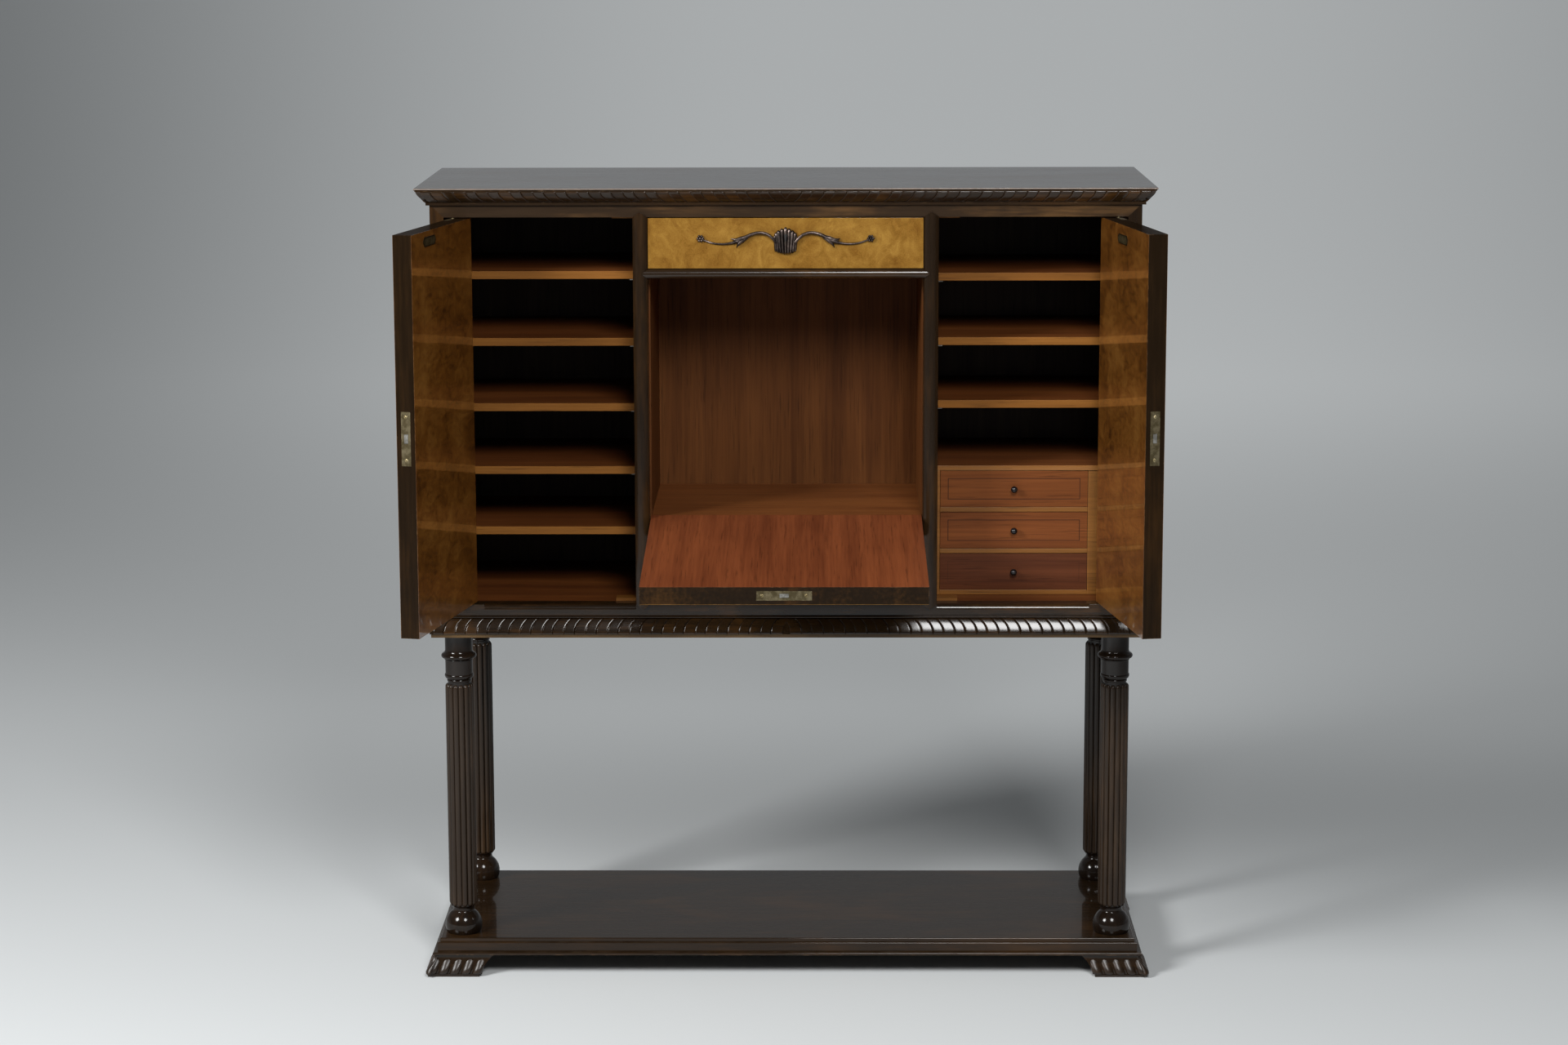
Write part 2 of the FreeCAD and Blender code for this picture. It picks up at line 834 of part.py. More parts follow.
def lock_pocket(face, out, along):
    """Room for a lock in the edge of a panel."""
    plate = lock_block(lock_plate_length, lock_plate_width, lock_plate_thickness, face, out, along)
    return plate.fuse(lock_block(lock_case_length, lock_case_thickness, lock_case_depth, face, out, along))


def lock_channel(face, out, along):
    """The way through plate and case for the bolt."""
    width = bolt_width + 2 * bolt_clearance
    thick = bolt_thickness + 2 * bolt_clearance
    depth = bolt_set + bolt_length + bolt_clearance
    return lock_block(width, thick, depth + overrun, face + out * overrun, out, along)


def lock_body(face, out, along):
    """Case and edge plate in one piece."""
    return lock_pocket(face, out, along).cut(lock_channel(face, out, along)).removeSplitter()


def lock_bolt(face, out, along):
    """The bolt, drawn back."""
    return lock_block(bolt_width, bolt_thickness, bolt_length, face - out * bolt_set, out, along)


def bolt_mortise(face, out, along):
    """The hole that takes the shot bolt."""
    width = bolt_width + 2 * mortise_clearance
    thick = bolt_thickness + 2 * mortise_clearance
    reach = bolt_travel + mortise_clearance
    return lock_block(width, thick, reach + overrun, face + out * reach, out, along)


def door_lock_face():
    """Middle of the right-hand door's free edge, and the way out of it."""
    return Vector(door_free_x, door_thickness / 2, lock_z), X_AXIS * -1, Z_AXIS


def flap_lock_face():
    """Middle of the flap's upper edge, and the way out of it."""
    return Vector(0, flap_pivot_y, flap_top_z), Z_AXIS, X_AXIS


def drawer_lock_face():
    """Middle of the top drawer front's upper edge, and the way out of it."""
    return Vector(0, drawer_front_thickness / 2, rail_z - drawer_top_gap), Z_AXIS, X_AXIS


def door_bolt_mortise():
    """Mortise in the post for the door's bolt."""
    face, out, along = door_lock_face()
    return bolt_mortise(Vector(post_far_x, face.y, face.z), out, along)


def flap_bolt_mortise():
    """Mortise in the divider rail for the flap's bolt."""
    face, out, along = flap_lock_face()
    return bolt_mortise(Vector(face.x, face.y, divider_z), out, along)


def drawer_bolt_mortise():
    """Mortise in the top rail for the drawer's bolt."""
    face, out, along = drawer_lock_face()
    return bolt_mortise(Vector(face.x, face.y, rail_z), out, along)


def keyhole(x, y0, y1, z):
    """A keyhole right through along Y: a round head and a slot below it."""
    run = Vector(0, y1 - y0, 0)
    slot = box(x - key_slot / 2, x + key_slot / 2, y0, y1, z - key_drop, z)
    return rod(key_radius, Vector(x, y0, z), run).fuse(slot)


def make_escutcheon(x, face_y, z):
    """Oval key plate on a face that looks to the front."""
    ellipse = Part.Ellipse(Vector(0, 0, 0), escutcheon_height / 2, escutcheon_width / 2).toShape()
    plate = Part.Face(Part.Wire(ellipse)).extrude(Vector(0, 0, escutcheon_thickness))
    plate.rotate(Vector(0, 0, 0), X_AXIS, 90)
    plate.rotate(Vector(0, 0, 0), Y_AXIS, 90)
    plate.translate(Vector(x, face_y, z))
    return plate.cut(keyhole(x, face_y - escutcheon_thickness - overrun, face_y + overrun, z))


# Doors and flap, drawn closed


def door_key_x():
    """Where the key goes into the right-hand door."""
    return door_free_x + lock_case_depth - lock_case_thickness


def make_door():
    """Right-hand door leaf with room for its pivots, its lock and its key."""
    leaf = box(door_free_x, door_hinge_x, 0, door_thickness, door_bottom_z, door_top_z)
    edges = edges_along(leaf, Z_AXIS, lambda p: p.x > door_pivot_x and p.y < pivot_depth)
    leaf = leaf.makeFillet(door_edge_round, edges)
    for part in door_leaves(0) + door_pin_wells():
        leaf = leaf.cut(part)
    leaf = leaf.cut(lock_pocket(*door_lock_face()))
    return leaf.cut(keyhole(door_key_x(), -overrun, door_thickness / 2, lock_z))


def swing_door(shape, angle):
    """Swing a closed right-hand door piece open."""
    moved = shape.copy()
    moved.rotate(Vector(door_pivot_x, pivot_depth, 0), Z_AXIS, angle)
    return moved


def swing_left_door(shape, angle):
    """Mirror a closed right-hand door piece to the left and swing it open."""
    return mirrored(swing_door(shape, angle))


def flap_key_z():
    """Where the key goes into the flap."""
    return flap_top_z - lock_case_depth + lock_case_thickness


def make_flap():
    """Fall flap with a rounded lower edge, room for its pivots, lock, key and edge stud."""
    leaf = box(-flap_half, flap_half, 0, flap_thickness, flap_pivot_z - flap_tail, flap_top_z)
    edges = edges_along(leaf, X_AXIS, lambda p: p.z < flap_pivot_z and p.y < flap_pivot_y)
    leaf = leaf.makeFillet(flap_tail_round, edges)
    for part in (flap_leaf(0), flap_pin_well()):
        leaf = leaf.cut(part).cut(mirrored(part))
    leaf = leaf.cut(lock_pocket(*flap_lock_face()))
    leaf = leaf.cut(rod(stud_shank_radius, stud_seat(), X_AXIS * -stud_shank_length))
    return leaf.cut(keyhole(0, -overrun, flap_pivot_y, flap_key_z()))


def stud_seat():
    """Where the stud stands on the flap's right-hand edge."""
    return Vector(flap_half, flap_thickness - stud_radius, flap_pivot_z + stud_reach)


def make_stud():
    """Domed rub stud in the flap's right-hand edge."""
    ball_radius_needed = (stud_radius ** 2 + stud_height ** 2) / (2 * stud_height)
    centre = stud_seat() + X_AXIS * (stud_height - ball_radius_needed)
    ball = Part.makeSphere(ball_radius_needed, centre)
    seat = stud_seat()
    half = Vector(0, ball_radius_needed, ball_radius_needed)
    keep = Part.makeBox(stud_height, half.y * 2, half.z * 2, seat - half)
    return ball.common(keep).fuse(rod(stud_shank_radius, seat, X_AXIS * -stud_shank_length))


def swing_flap(shape):
    """Swing a closed flap piece down to its open rest."""
    moved = shape.copy()
    moved.rotate(Vector(0, flap_pivot_y, flap_pivot_z), X_AXIS, flap_rest_angle)
    return moved


# Middle bay


def make_interior_floor():
    """Floor of the writing space, coved at its front edge round the flap's pivot."""
    board = box(-lining_x, lining_x, flap_pivot_y, desk_back_y, desk_z - interior_floor_thickness, desk_z)
    reach = lining_x + overrun
    cove = rod(cove_radius, Vector(-reach, flap_pivot_y, flap_pivot_z), X_AXIS * (2 * reach))
    return board.cut(cove)


def make_lining_side():
    """Right-hand lining board of the writing space."""
    low = desk_z - interior_floor_thickness
    return box(lining_x, partition_x, lining_y, desk_back_y + interior_back_thickness, low, dust_z)


def make_interior_back():
    """Back of the writing space."""
    low = desk_z - interior_floor_thickness
    return box(-lining_x, lining_x, desk_back_y, desk_back_y + interior_back_thickness, low, dust_z)


def make_interior_bearers():
    """Two bearers on the floor board that carry the writing space's floor."""
    bearers = []
    for y in (lining_y, desk_back_y - lining_thickness):
        low = desk_z - interior_floor_thickness
        bearers.append(box(-partition_x, partition_x, y, y + interior_back_thickness, floor_z, low))
    return bearers


# Side bays


def make_shelves(shares):
    """Loose shelves of the right-hand bay."""
    shelves = []
    for level in shelf_levels(shares):
        left = partition_far_x + shelf_gap
        right = side_x - shelf_gap
        back = bay_depth_y - shelf_back_gap
        shelves.append(box(left, right, inner_set, back, level - shelf_thickness, level))
    return shelves


def make_stops():
    """Upper and lower door stops of the right-hand bay, beside the post."""
    left = partition_far_x
    front = door_thickness + stop_gap
    lower = box(left, left + stop_length, front, stop_back_y, floor_z, floor_z + stop_height)
    upper = box(left, left + stop_length, front, stop_back_y, rail_z - stop_height, rail_z)
    return [upper, lower]


# Small drawers and their case

case_x = partition_far_x + case_left_thickness
case_far_x = side_x - filler_width - case_right_thickness
case_top_z = floor_z + case_height
case_top_low_z = case_top_z - case_top_thickness
case_bottom_z = floor_z + case_floor_thickness
row_height = (case_top_low_z - case_bottom_z + case_runner_thickness) / small_drawer_rows
case_back_y = bay_depth_y - shelf_back_gap


def row_floor(row):
    """Where a small drawer of a row runs, counted from the bottom."""
    return case_bottom_z + row * row_height


def make_case():
    """Case of the small drawers: top, floor, two walls, runners and the filler by the hinge."""
    case_wall_x = side_x - filler_width
    pieces = [
        box(partition_far_x, side_x, inner_set, case_back_y, case_top_low_z, case_top_z),
        box(partition_far_x, case_x, inner_set, case_back_y, floor_z, case_top_low_z),
        box(case_far_x, case_wall_x, inner_set, case_back_y, floor_z, case_top_low_z),
        box(case_wall_x, side_x, inner_set, inner_set + filler_thickness, floor_z, case_top_low_z),
        box(case_x, case_far_x, inner_set, case_back_y, floor_z, case_bottom_z),
    ]
    for row in range(1, small_drawer_rows):
        high = row_floor(row)
        pieces.append(box(case_x, case_far_x, inner_set, case_back_y, high - case_runner_thickness, high))
    return pieces


def drawer_box(x0, x1, y0, y1, z0, height, wall, bottom):
    """Two sides, a back and a bottom behind a drawer's front."""
    inner_low = z0 + bottom
    return [
        box(x0, x0 + wall, y0, y1, z0, z0 + height),
        box(x1 - wall, x1, y0, y1, z0, z0 + height),
        box(x0 + wall, x1 - wall, y1 - wall, y1, z0, z0 + height),
        box(x0 + wall, x1 - wall, y0, y1 - wall, z0, inner_low),
    ]


def make_small_front(row):
    """Front of a small drawer, drilled for its knob."""
    low = row_floor(row) + small_front_gap
    high = row_floor(row + 1) - case_runner_thickness - small_front_gap
    back = inner_set + small_front_thickness
    front = box(case_x + small_front_gap, case_far_x - small_front_gap, inner_set, back, low, high)
    return front.cut(rod(knob_shank_radius, knob_seat(row), Y_AXIS * knob_shank_length))


def make_small_box(row):
    """Box of a small drawer."""
    front = inner_set + small_front_thickness
    low = row_floor(row) + run_gap
    left = case_x + side_gap
    right = case_far_x - side_gap
    return drawer_box(left, right, front, bay_depth_y - small_box_back_gap, low,
                      small_box_height, small_box_wall, small_box_bottom)


def knob_seat(row):
    """Middle of a small drawer's front."""
    middle_z = row_floor(row) + (row_height - case_runner_thickness) / 2
    return Vector((case_x + case_far_x) / 2, inner_set, middle_z)


def make_knob(row):
    """Round knob on a short stem, with a shank in the drawer front."""
    seat = knob_seat(row)
    ball = Part.makeSphere(knob_radius, seat - Y_AXIS * (knob_stem_length + knob_radius))
    stem = rod(knob_stem_radius, seat, Y_AXIS * -(knob_stem_length + knob_radius))
    shank = rod(knob_shank_radius, seat, Y_AXIS * knob_shank_length)
    return ball.fuse([stem, shank]).removeSplitter()


# Top drawer

drawer_half = post_x - drawer_front_gap
drawer_low_z = drawer_z + drawer_front_gap
drawer_high_z = rail_z - drawer_top_gap
handle_z = (drawer_low_z + drawer_high_z) / 2


def make_drawer_front():
    """Top drawer's front with room for its lock and key."""
    front = box(-drawer_half, drawer_half, 0, drawer_front_thickness, drawer_low_z, drawer_high_z)
    front = front.cut(lock_pocket(*drawer_lock_face()))
    return front.cut(keyhole(0, -overrun, drawer_front_thickness / 2, handle_z + key_drop / 2))


def make_drawer_box():
    """Top drawer's box."""
    half = drawer_half - side_gap
    back = bay_depth_y - drawer_box_back_gap
    return drawer_box(-half, half, drawer_front_thickness, back, drawer_z + run_gap,
                      drawer_box_height, drawer_wall, drawer_bottom)


def make_arm():
    """The handle's right arm on the XZ plane: a hump, then a hollow, in two tangent arcs, and its end ball."""
    run = arm_low_out - arm_peak_out
    fall = arm_peak_up + arm_low_down
    radius = (run ** 2 + fall ** 2) / (4 * fall)
    hump = Vector(arm_peak_out, 0, arm_peak_up - radius)
    hollow = Vector(arm_low_out, 0, radius - arm_low_down)

    def lean(out, centre):
        return math.degrees(math.asin((out - centre.x) / radius))

    turn = math.degrees(math.atan2(hollow.x - hump.x, hollow.z - hump.z))
    top = Part.Face(Part.Wire(Part.makeCircle(arm_radius, hump + Z_AXIS * radius, X_AXIS)))
    start = lean(arm_start, hump)
    first = top.copy()
    first.rotate(hump, Y_AXIS, start)
    bottom = Part.Face(Part.Wire(Part.makeCircle(arm_radius, hollow - Z_AXIS * radius, X_AXIS)))
    end = lean(arm_end_out, hollow)
    second = bottom.copy()
    second.rotate(hollow, Y_AXIS, turn)
    pieces = [second.revolve(hollow, Y_AXIS, -turn - end)]
    tip = hollow + Vector(math.sin(math.radians(end)) * radius, 0, -math.cos(math.radians(end)) * radius)
    pieces.append(Part.makeSphere(arm_ball_radius, tip))
    pieces.append(rod(arm_radius, tip, Y_AXIS * handle_rise))
    return first.revolve(hump, Y_AXIS, turn - start).fuse(pieces)


def make_handle():
    """Domed shell with a keyhole and two scrolled arms that end in balls on the drawer's face."""
    arm = make_arm()
    keep_reach = arm_end_out + arm_ball_radius + overrun
    keep = box(-keep_reach, keep_reach, -shell_rise - keep_reach, handle_rise, -keep_reach, keep_reach)
    squeeze = FreeCAD.Matrix()
    squeeze.scale(1, shell_rise / shell_half_width, shell_half_height / shell_half_width)
    dome = Part.makeSphere(shell_half_width).transformGeometry(squeeze)
    dome.translate(Vector(0, handle_rise, 0))
    handle = dome.fuse([arm, mirrored(arm)]).common(keep)
    handle.translate(Vector(0, -handle_rise, handle_z))
    key_z = handle_z + key_drop / 2
    return handle.cut(keyhole(0, -shell_rise - handle_rise - overrun, overrun, key_z)).removeSplitter()


def build_stand():
    """Base board, feet and legs."""
    save("base_board", make_base_board())
    front_foot = make_foot()
    rear_foot = make_rear_foot()
    save("bracket_feet", front_foot, mirrored(front_foot), rear_foot, mirrored(rear_foot))
    leg = make_leg()
    for name, place in leg_places().items():
        placed = leg.copy()
        placed.translate(place)
        save("leg_" + name, placed)


def build_carcass():
    """Boards, frame and mouldings."""
    save("bottom_board", make_bottom_board())
    save("threshold_rail", make_threshold())
    floor_low = floor_z - floor_thickness
    save("floor_board", box(-side_x, side_x, threshold_depth, bay_depth_y, floor_low, floor_z))
    save("side_left", mirrored(make_side(left_shelf_shares)))
    save("side_right", make_side(right_shelf_shares))
    save("back_panel", box(-side_x, side_x, bay_depth_y, carcass_depth, plinth_z, frame_top_z))
    save("sub_top", box(-half_width, half_width, 0, carcass_depth, frame_top_z, top_board_z))
    save("top_board", make_top_board())
    save("partition_left", mirrored(make_partition(left_shelf_shares)))
    save("partition_right", make_partition(right_shelf_shares))
    save("dust_board", box(-partition_x, partition_x, frame_depth, bay_depth_y, dust_z, drawer_z))
    stile = make_stile()
    post = make_post()
    posts = [mirrored(post), post]
    save("front_stiles", mirrored(stile), stile)
    save("front_posts", *posts)
    save("top_rail", make_top_rail())
    save("divider_rail", make_divider(posts))
    save("apron_panel", make_apron())
    save("cornice_moulding", *make_cornice())
    save("torus_moulding", *make_torus())


def build_bays():
    """Writing space, shelves, pegs, stops and fixed pivot plates."""
    side = make_lining_side()
    save("interior_floor", make_interior_floor())
    save("interior_lining", mirrored(side), side, make_interior_back(), *make_interior_bearers())
    save("left_shelves", *[mirrored(s) for s in make_shelves(left_shelf_shares)])
    save("right_shelves", *make_shelves(right_shelf_shares))
    left_pegs = [mirrored(p) for p in bay_pegs(left_shelf_shares, peg_radius, 0)]
    save("shelf_pegs", *left_pegs, *bay_pegs(right_shelf_shares, peg_radius, 0))
    stops = make_stops()
    save("door_stops", *stops, *[mirrored(s) for s in stops])
    plates = fixed_door_plates() + [flap_plate(True)]
    save("pivot_plates", *plates, *[mirrored(p) for p in plates])
    save("drawer_case", *make_case())


def build_doors():
    """Both doors with their leaves, locks and bolts, swung open."""
    lock = [lock_body(*door_lock_face()), make_escutcheon(door_key_x(), 0, lock_z)]
    for side, swing, angle in (("left", swing_left_door, left_door_angle), ("right", swing_door, right_door_angle)):
        save(side + "_door_panel", swing(make_door(), angle))
        save(side + "_door_pivot_leaves", *[swing(s, angle) for s in door_leaves(pin_clearance)])
        save(side + "_door_lock", *[swing(s, angle) for s in lock])
        save(side + "_door_bolt", swing(lock_bolt(*door_lock_face()), angle))


def build_flap():
    """Fall flap with its leaves, lock, bolt and stud, swung down."""
    leaf = flap_leaf(pin_clearance)
    save("flap_panel", swing_flap(make_flap()))
    save("flap_pivot_leaves", swing_flap(leaf), swing_flap(mirrored(leaf)))
    lock = [lock_body(*flap_lock_face()), make_escutcheon(0, 0, flap_key_z())]
    save("flap_lock", *[swing_flap(s) for s in lock])
    save("flap_bolt", swing_flap(lock_bolt(*flap_lock_face())))
    save("flap_stud", swing_flap(make_stud()))


def build_drawers():
    """Top drawer and the three small drawers, shut."""
    save("top_drawer_front", make_drawer_front())
    save("top_drawer_box", *make_drawer_box())
    save("top_drawer_handle", make_handle())
    save("top_drawer_lock", lock_body(*drawer_lock_face()))
    save("top_drawer_bolt", lock_bolt(*drawer_lock_face()))
    for row, name in enumerate(("lower", "middle", "upper")):
        save("small_drawer_" + name + "_front", make_small_front(row))
        save("small_drawer_" + name + "_box", *make_small_box(row))
        save("small_drawer_" + name + "_knob", make_knob(row))


os.makedirs("parts", exist_ok=True)
build_stand()
build_carcass()
build_bays()
build_doors()
build_flap()
build_drawers()
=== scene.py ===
"""Looks of the cabinet on stand: carving, reeding, metalwork, veneers and polish.

Everything is in metres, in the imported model's own frame: +X right, -Y front, +Z up.
"""

import json
import logging
import math
from collections.abc import Callable, Sequence
from dataclasses import dataclass, field
from enum import Enum
from typing import NamedTuple

import bmesh
import bpy
import numpy as np
from mathutils import Matrix, Vector


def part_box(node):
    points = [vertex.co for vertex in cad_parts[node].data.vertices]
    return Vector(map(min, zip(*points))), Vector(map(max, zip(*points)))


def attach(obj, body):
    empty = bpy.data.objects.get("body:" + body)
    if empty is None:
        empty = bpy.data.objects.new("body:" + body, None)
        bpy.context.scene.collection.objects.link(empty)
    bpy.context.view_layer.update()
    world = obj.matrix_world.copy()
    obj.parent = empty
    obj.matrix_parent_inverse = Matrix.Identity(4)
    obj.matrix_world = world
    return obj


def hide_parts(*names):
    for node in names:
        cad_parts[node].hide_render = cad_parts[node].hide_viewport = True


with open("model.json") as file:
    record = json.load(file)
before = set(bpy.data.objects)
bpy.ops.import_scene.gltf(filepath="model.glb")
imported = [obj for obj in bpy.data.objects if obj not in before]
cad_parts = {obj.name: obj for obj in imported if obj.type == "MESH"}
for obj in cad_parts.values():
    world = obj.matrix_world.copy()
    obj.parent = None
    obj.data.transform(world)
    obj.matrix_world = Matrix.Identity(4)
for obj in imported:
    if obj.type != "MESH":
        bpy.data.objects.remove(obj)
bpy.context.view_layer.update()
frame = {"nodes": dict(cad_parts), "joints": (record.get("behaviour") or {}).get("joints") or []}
WELD = 1e-6

log = logging.getLogger("cabinet")

Colour = tuple[float, float, float]
Point = tuple[float, float, float]


class Axis(Enum):
    """An axis of the frame, also the way a grain runs."""

    X = 0
    Y = 1
    Z = 2


class Hand(Enum):
    """A side of the cabinet, as its sign along X."""

    LEFT = -1
    RIGHT = 1


# Node trees


class Field:
    """A node's output that Python operators combine through Math nodes."""

    def __init__(self, tree: "Tree", socket: bpy.types.NodeSocket) -> None:
        """Wraps one output socket of a tree."""
        self.tree = tree
        self.socket = socket

    def maths(self, operation: str, *terms: "Field | float") -> "Field":
        """Adds one Math node.

        Args:
            operation: The Math node's operation.
            terms: Its inputs, in order.

        Returns:
            The node's value.
        """
        return self.tree.add("ShaderNodeMath", {"operation": operation}, dict(enumerate(terms)))

    def __add__(self, other: "Field | float") -> "Field":
        """Sum."""
        return self.maths("ADD", self, other)

    def __radd__(self, other: float) -> "Field":
        """Sum, from the right."""
        return self.maths("ADD", other, self)

    def __sub__(self, other: "Field | float") -> "Field":
        """Difference."""
        return self.maths("SUBTRACT", self, other)

    def __rsub__(self, other: float) -> "Field":
        """Difference, from the right."""
        return self.maths("SUBTRACT", other, self)

    def __mul__(self, other: "Field | float") -> "Field":
        """Product."""
        return self.maths("MULTIPLY", self, other)

    def __rmul__(self, other: float) -> "Field":
        """Product, from the right."""
        return self.maths("MULTIPLY", other, self)

    def __truediv__(self, other: "Field | float") -> "Field":
        """Quotient."""
        return self.maths("DIVIDE", self, other)

    def __rtruediv__(self, other: float) -> "Field":
        """Quotient, from the right."""
        return self.maths("DIVIDE", other, self)

    def least(self, other: "Field | float") -> "Field":
        """The smaller of two values."""
        return self.maths("MINIMUM", self, other)

    def most(self, other: "Field | float") -> "Field":
        """The larger of two values."""
        return self.maths("MAXIMUM", self, other)

    def size(self) -> "Field":
        """The value without its sign."""
        return self.maths("ABSOLUTE", self)


class Tree:
    """Adds nodes to one node tree."""

    def __init__(self, tree: bpy.types.NodeTree) -> None:
        """Takes an empty node tree."""
        self.tree = tree

    def add(self, kind: str, settings: dict, inputs: dict, out: int | str = 0) -> Field:
        """Adds any node.

        Args:
            kind: The node's type.
            settings: Its properties, and "stops" for a ramp's (place, colour) pairs.
            inputs: A value or a field for each socket, by name or index.
            out: The output that is wanted.

        Returns:
            That output.
        """
        node = self.tree.nodes.new(kind)
        for name, value in settings.items():
            if name == "stops":
                self._set_stops(node.color_ramp, value)
            else:
                setattr(node, name, value)
        for name, value in inputs.items():
            socket = node.inputs[name]
            if isinstance(value, Field):
                self.tree.links.new(value.socket, socket)
            elif socket.type == "RGBA" and len(value) == 3:
                socket.default_value = (*value, 1.0)
            else:
                socket.default_value = value
        return Field(self, node.outputs[out])

    @staticmethod
    def _set_stops(ramp: bpy.types.ColorRamp, stops: Sequence[tuple[float, Colour]]) -> None:
        """Gives a colour ramp its stops."""
        while len(ramp.elements) < len(stops):
            ramp.elements.new(1.0)
        for element, (place, colour) in zip(ramp.elements, stops):
            element.position = place
            element.color = (*colour, 1.0)


class Noise(NamedTuple):
    """Smooth noise: ripples a metre, detail, roughness, distortion, and the scale along a grain."""

    scale: float
    detail: float = 2.0
    rough: float = 0.5
    warp: float = 0.0
    stretch: float = 1.0


NOISE_MIDDLE = 0.5


class Shader(Tree):
    """The node tree of one new material."""

    def __init__(self, name: str) -> None:
        """Makes the material and empties its tree."""
        self.material = bpy.data.materials.new(name)
        self.material.use_nodes = True
        super().__init__(self.material.node_tree)
        self.tree.nodes.clear()

    def point(self) -> Field:
        """The surface point in the frame, at the stored pose."""
        return self.add("ShaderNodeTexCoord", {}, {}, "Object")

    def scaled(self, point: Field, scale: Point) -> Field:
        """The point with each coordinate scaled."""
        return self.add("ShaderNodeVectorMath", {"operation": "MULTIPLY"}, {0: point, 1: scale})

    def along(self, point: Field, grain: Axis, share: float) -> Field:
        """The point with the coordinate along the grain shrunk to a share."""
        scale = [1.0, 1.0, 1.0]
        scale[grain.value] = share
        return self.scaled(point, tuple(scale))

    def turned(self, point: Field, pivot: Point, axis: Point, angle: float) -> Field:
        """The point turned about an axis."""
        inputs = {"Vector": point, "Center": pivot, "Axis": axis, "Angle": angle}
        return self.add("ShaderNodeVectorRotate", {"rotation_type": "AXIS_ANGLE"}, inputs)

    def parts(self, point: Field) -> list[Field]:
        """The three coordinates of a point."""
        node = self.add("ShaderNodeSeparateXYZ", {}, {0: point}).socket.node
        return [Field(self, socket) for socket in node.outputs]

    def noise(self, point: Field, noise: Noise) -> Field:
        """Noise from 0 to 1."""
        inputs = {"Vector": point, "Scale": noise.scale, "Detail": noise.detail, "Roughness": noise.rough,
                  "Distortion": noise.warp}
        return self.add("ShaderNodeTexNoise", {}, inputs)

    def grained(self, point: Field, grain: Axis, noise: Noise) -> Field:
        """Noise that is drawn out along a grain."""
        return self.noise(self.along(point, grain, noise.stretch), noise)

    def band(self, value: Field, low: float, high: float) -> Field:
        """Rises smoothly from 0 at low to 1 at high."""
        inputs = {"Value": value, "From Min": low, "From Max": high}
        return self.add("ShaderNodeMapRange", {"interpolation_type": "SMOOTHSTEP"}, inputs)

    def mix(self, share: Field | float, first: Field | Colour, second: Field | Colour) -> Field:
        """A colour between two colours."""
        return self.add("ShaderNodeMix", {"data_type": "RGBA"}, {0: share, 6: first, 7: second}, 2)

    def shade(self, colour: Field, strength: Field) -> Field:
        """A colour made lighter or darker."""
        inputs = {0: colour, "Scale": strength}
        return self.add("ShaderNodeVectorMath", {"operation": "SCALE"}, inputs)

    def ramp(self, value: Field, stops: Sequence[tuple[float, Colour]]) -> Field:
        """The colour at a value's place among stops."""
        return self.add("ShaderNodeValToRGB", {"stops": stops}, {0: value})

    def show(self, surface: Field) -> None:
        """Links a surface to the material's output."""
        output = self.tree.nodes.new("ShaderNodeOutputMaterial")
        self.tree.links.new(surface.socket, output.inputs["Surface"])


# Finishes


class Layer(NamedTuple):
    """What a finish shows at a point: colour, roughness and height of its relief."""

    colour: Field | Colour
    rough: Field
    height: Field


class Finish:
    """Anything that can paint a surface."""

    def paint(self, shader: Shader, point: Field) -> Layer:
        """Adds the finish's nodes.

        Args:
            shader: The material's tree.
            point: The point that is painted.

        Returns:
            The layer at that point.
        """
        raise NotImplementedError


def overlay(shader: Shader, mask: Field, under: Layer, over: Layer) -> Layer:
    """One layer over another, where the mask is 1."""
    return Layer(
        shader.mix(mask, under.colour, over.colour),
        under.rough + (over.rough - under.rough) * mask,
        under.height + (over.height - under.height) * mask,
    )


@dataclass(frozen=True)
class StainedBirch(Finish):
    """Birch stained nearly black, rubbed back to a warmer brown in patches."""

    grain: Axis
    base: Colour = (0.0155, 0.0082, 0.0036)
    warm: Colour = (0.085, 0.036, 0.0085)
    warmth: float = 0.45
    gloss: float = 0.16
    patch: Noise = Noise(8.0, 4.0, 0.62, 0.6, 0.45)
    streak: Noise = Noise(150.0, 3.0, 0.6, stretch=0.07)
    pore: Noise = Noise(900.0, stretch=0.03)
    streak_pull: float = 0.35
    rubbed_band: tuple[float, float] = (0.44, 0.78)
    least_tone: float = 0.62
    streak_tone: float = 0.76
    pore_rough: float = 0.16
    patch_rough: float = 0.1
    relief_share: float = 0.5

    def paint(self, shader: Shader, point: Field) -> Layer:
        """Patches, long streaks and fine pores."""
        patch, streak, pores = (shader.grained(point, self.grain, noise)
                                for noise in (self.patch, self.streak, self.pore))
        bared = patch + (streak - NOISE_MIDDLE) * self.streak_pull
        rubbed = shader.band(bared, *self.rubbed_band) * self.warmth
        colour = shader.mix(rubbed, self.base, self.warm)
        colour = shader.shade(colour, self.least_tone + self.streak_tone * streak)
        rough = self.gloss + self.pore_rough * pores + self.patch_rough * patch
        return Layer(colour, rough, self.relief_share * streak + self.relief_share * pores)


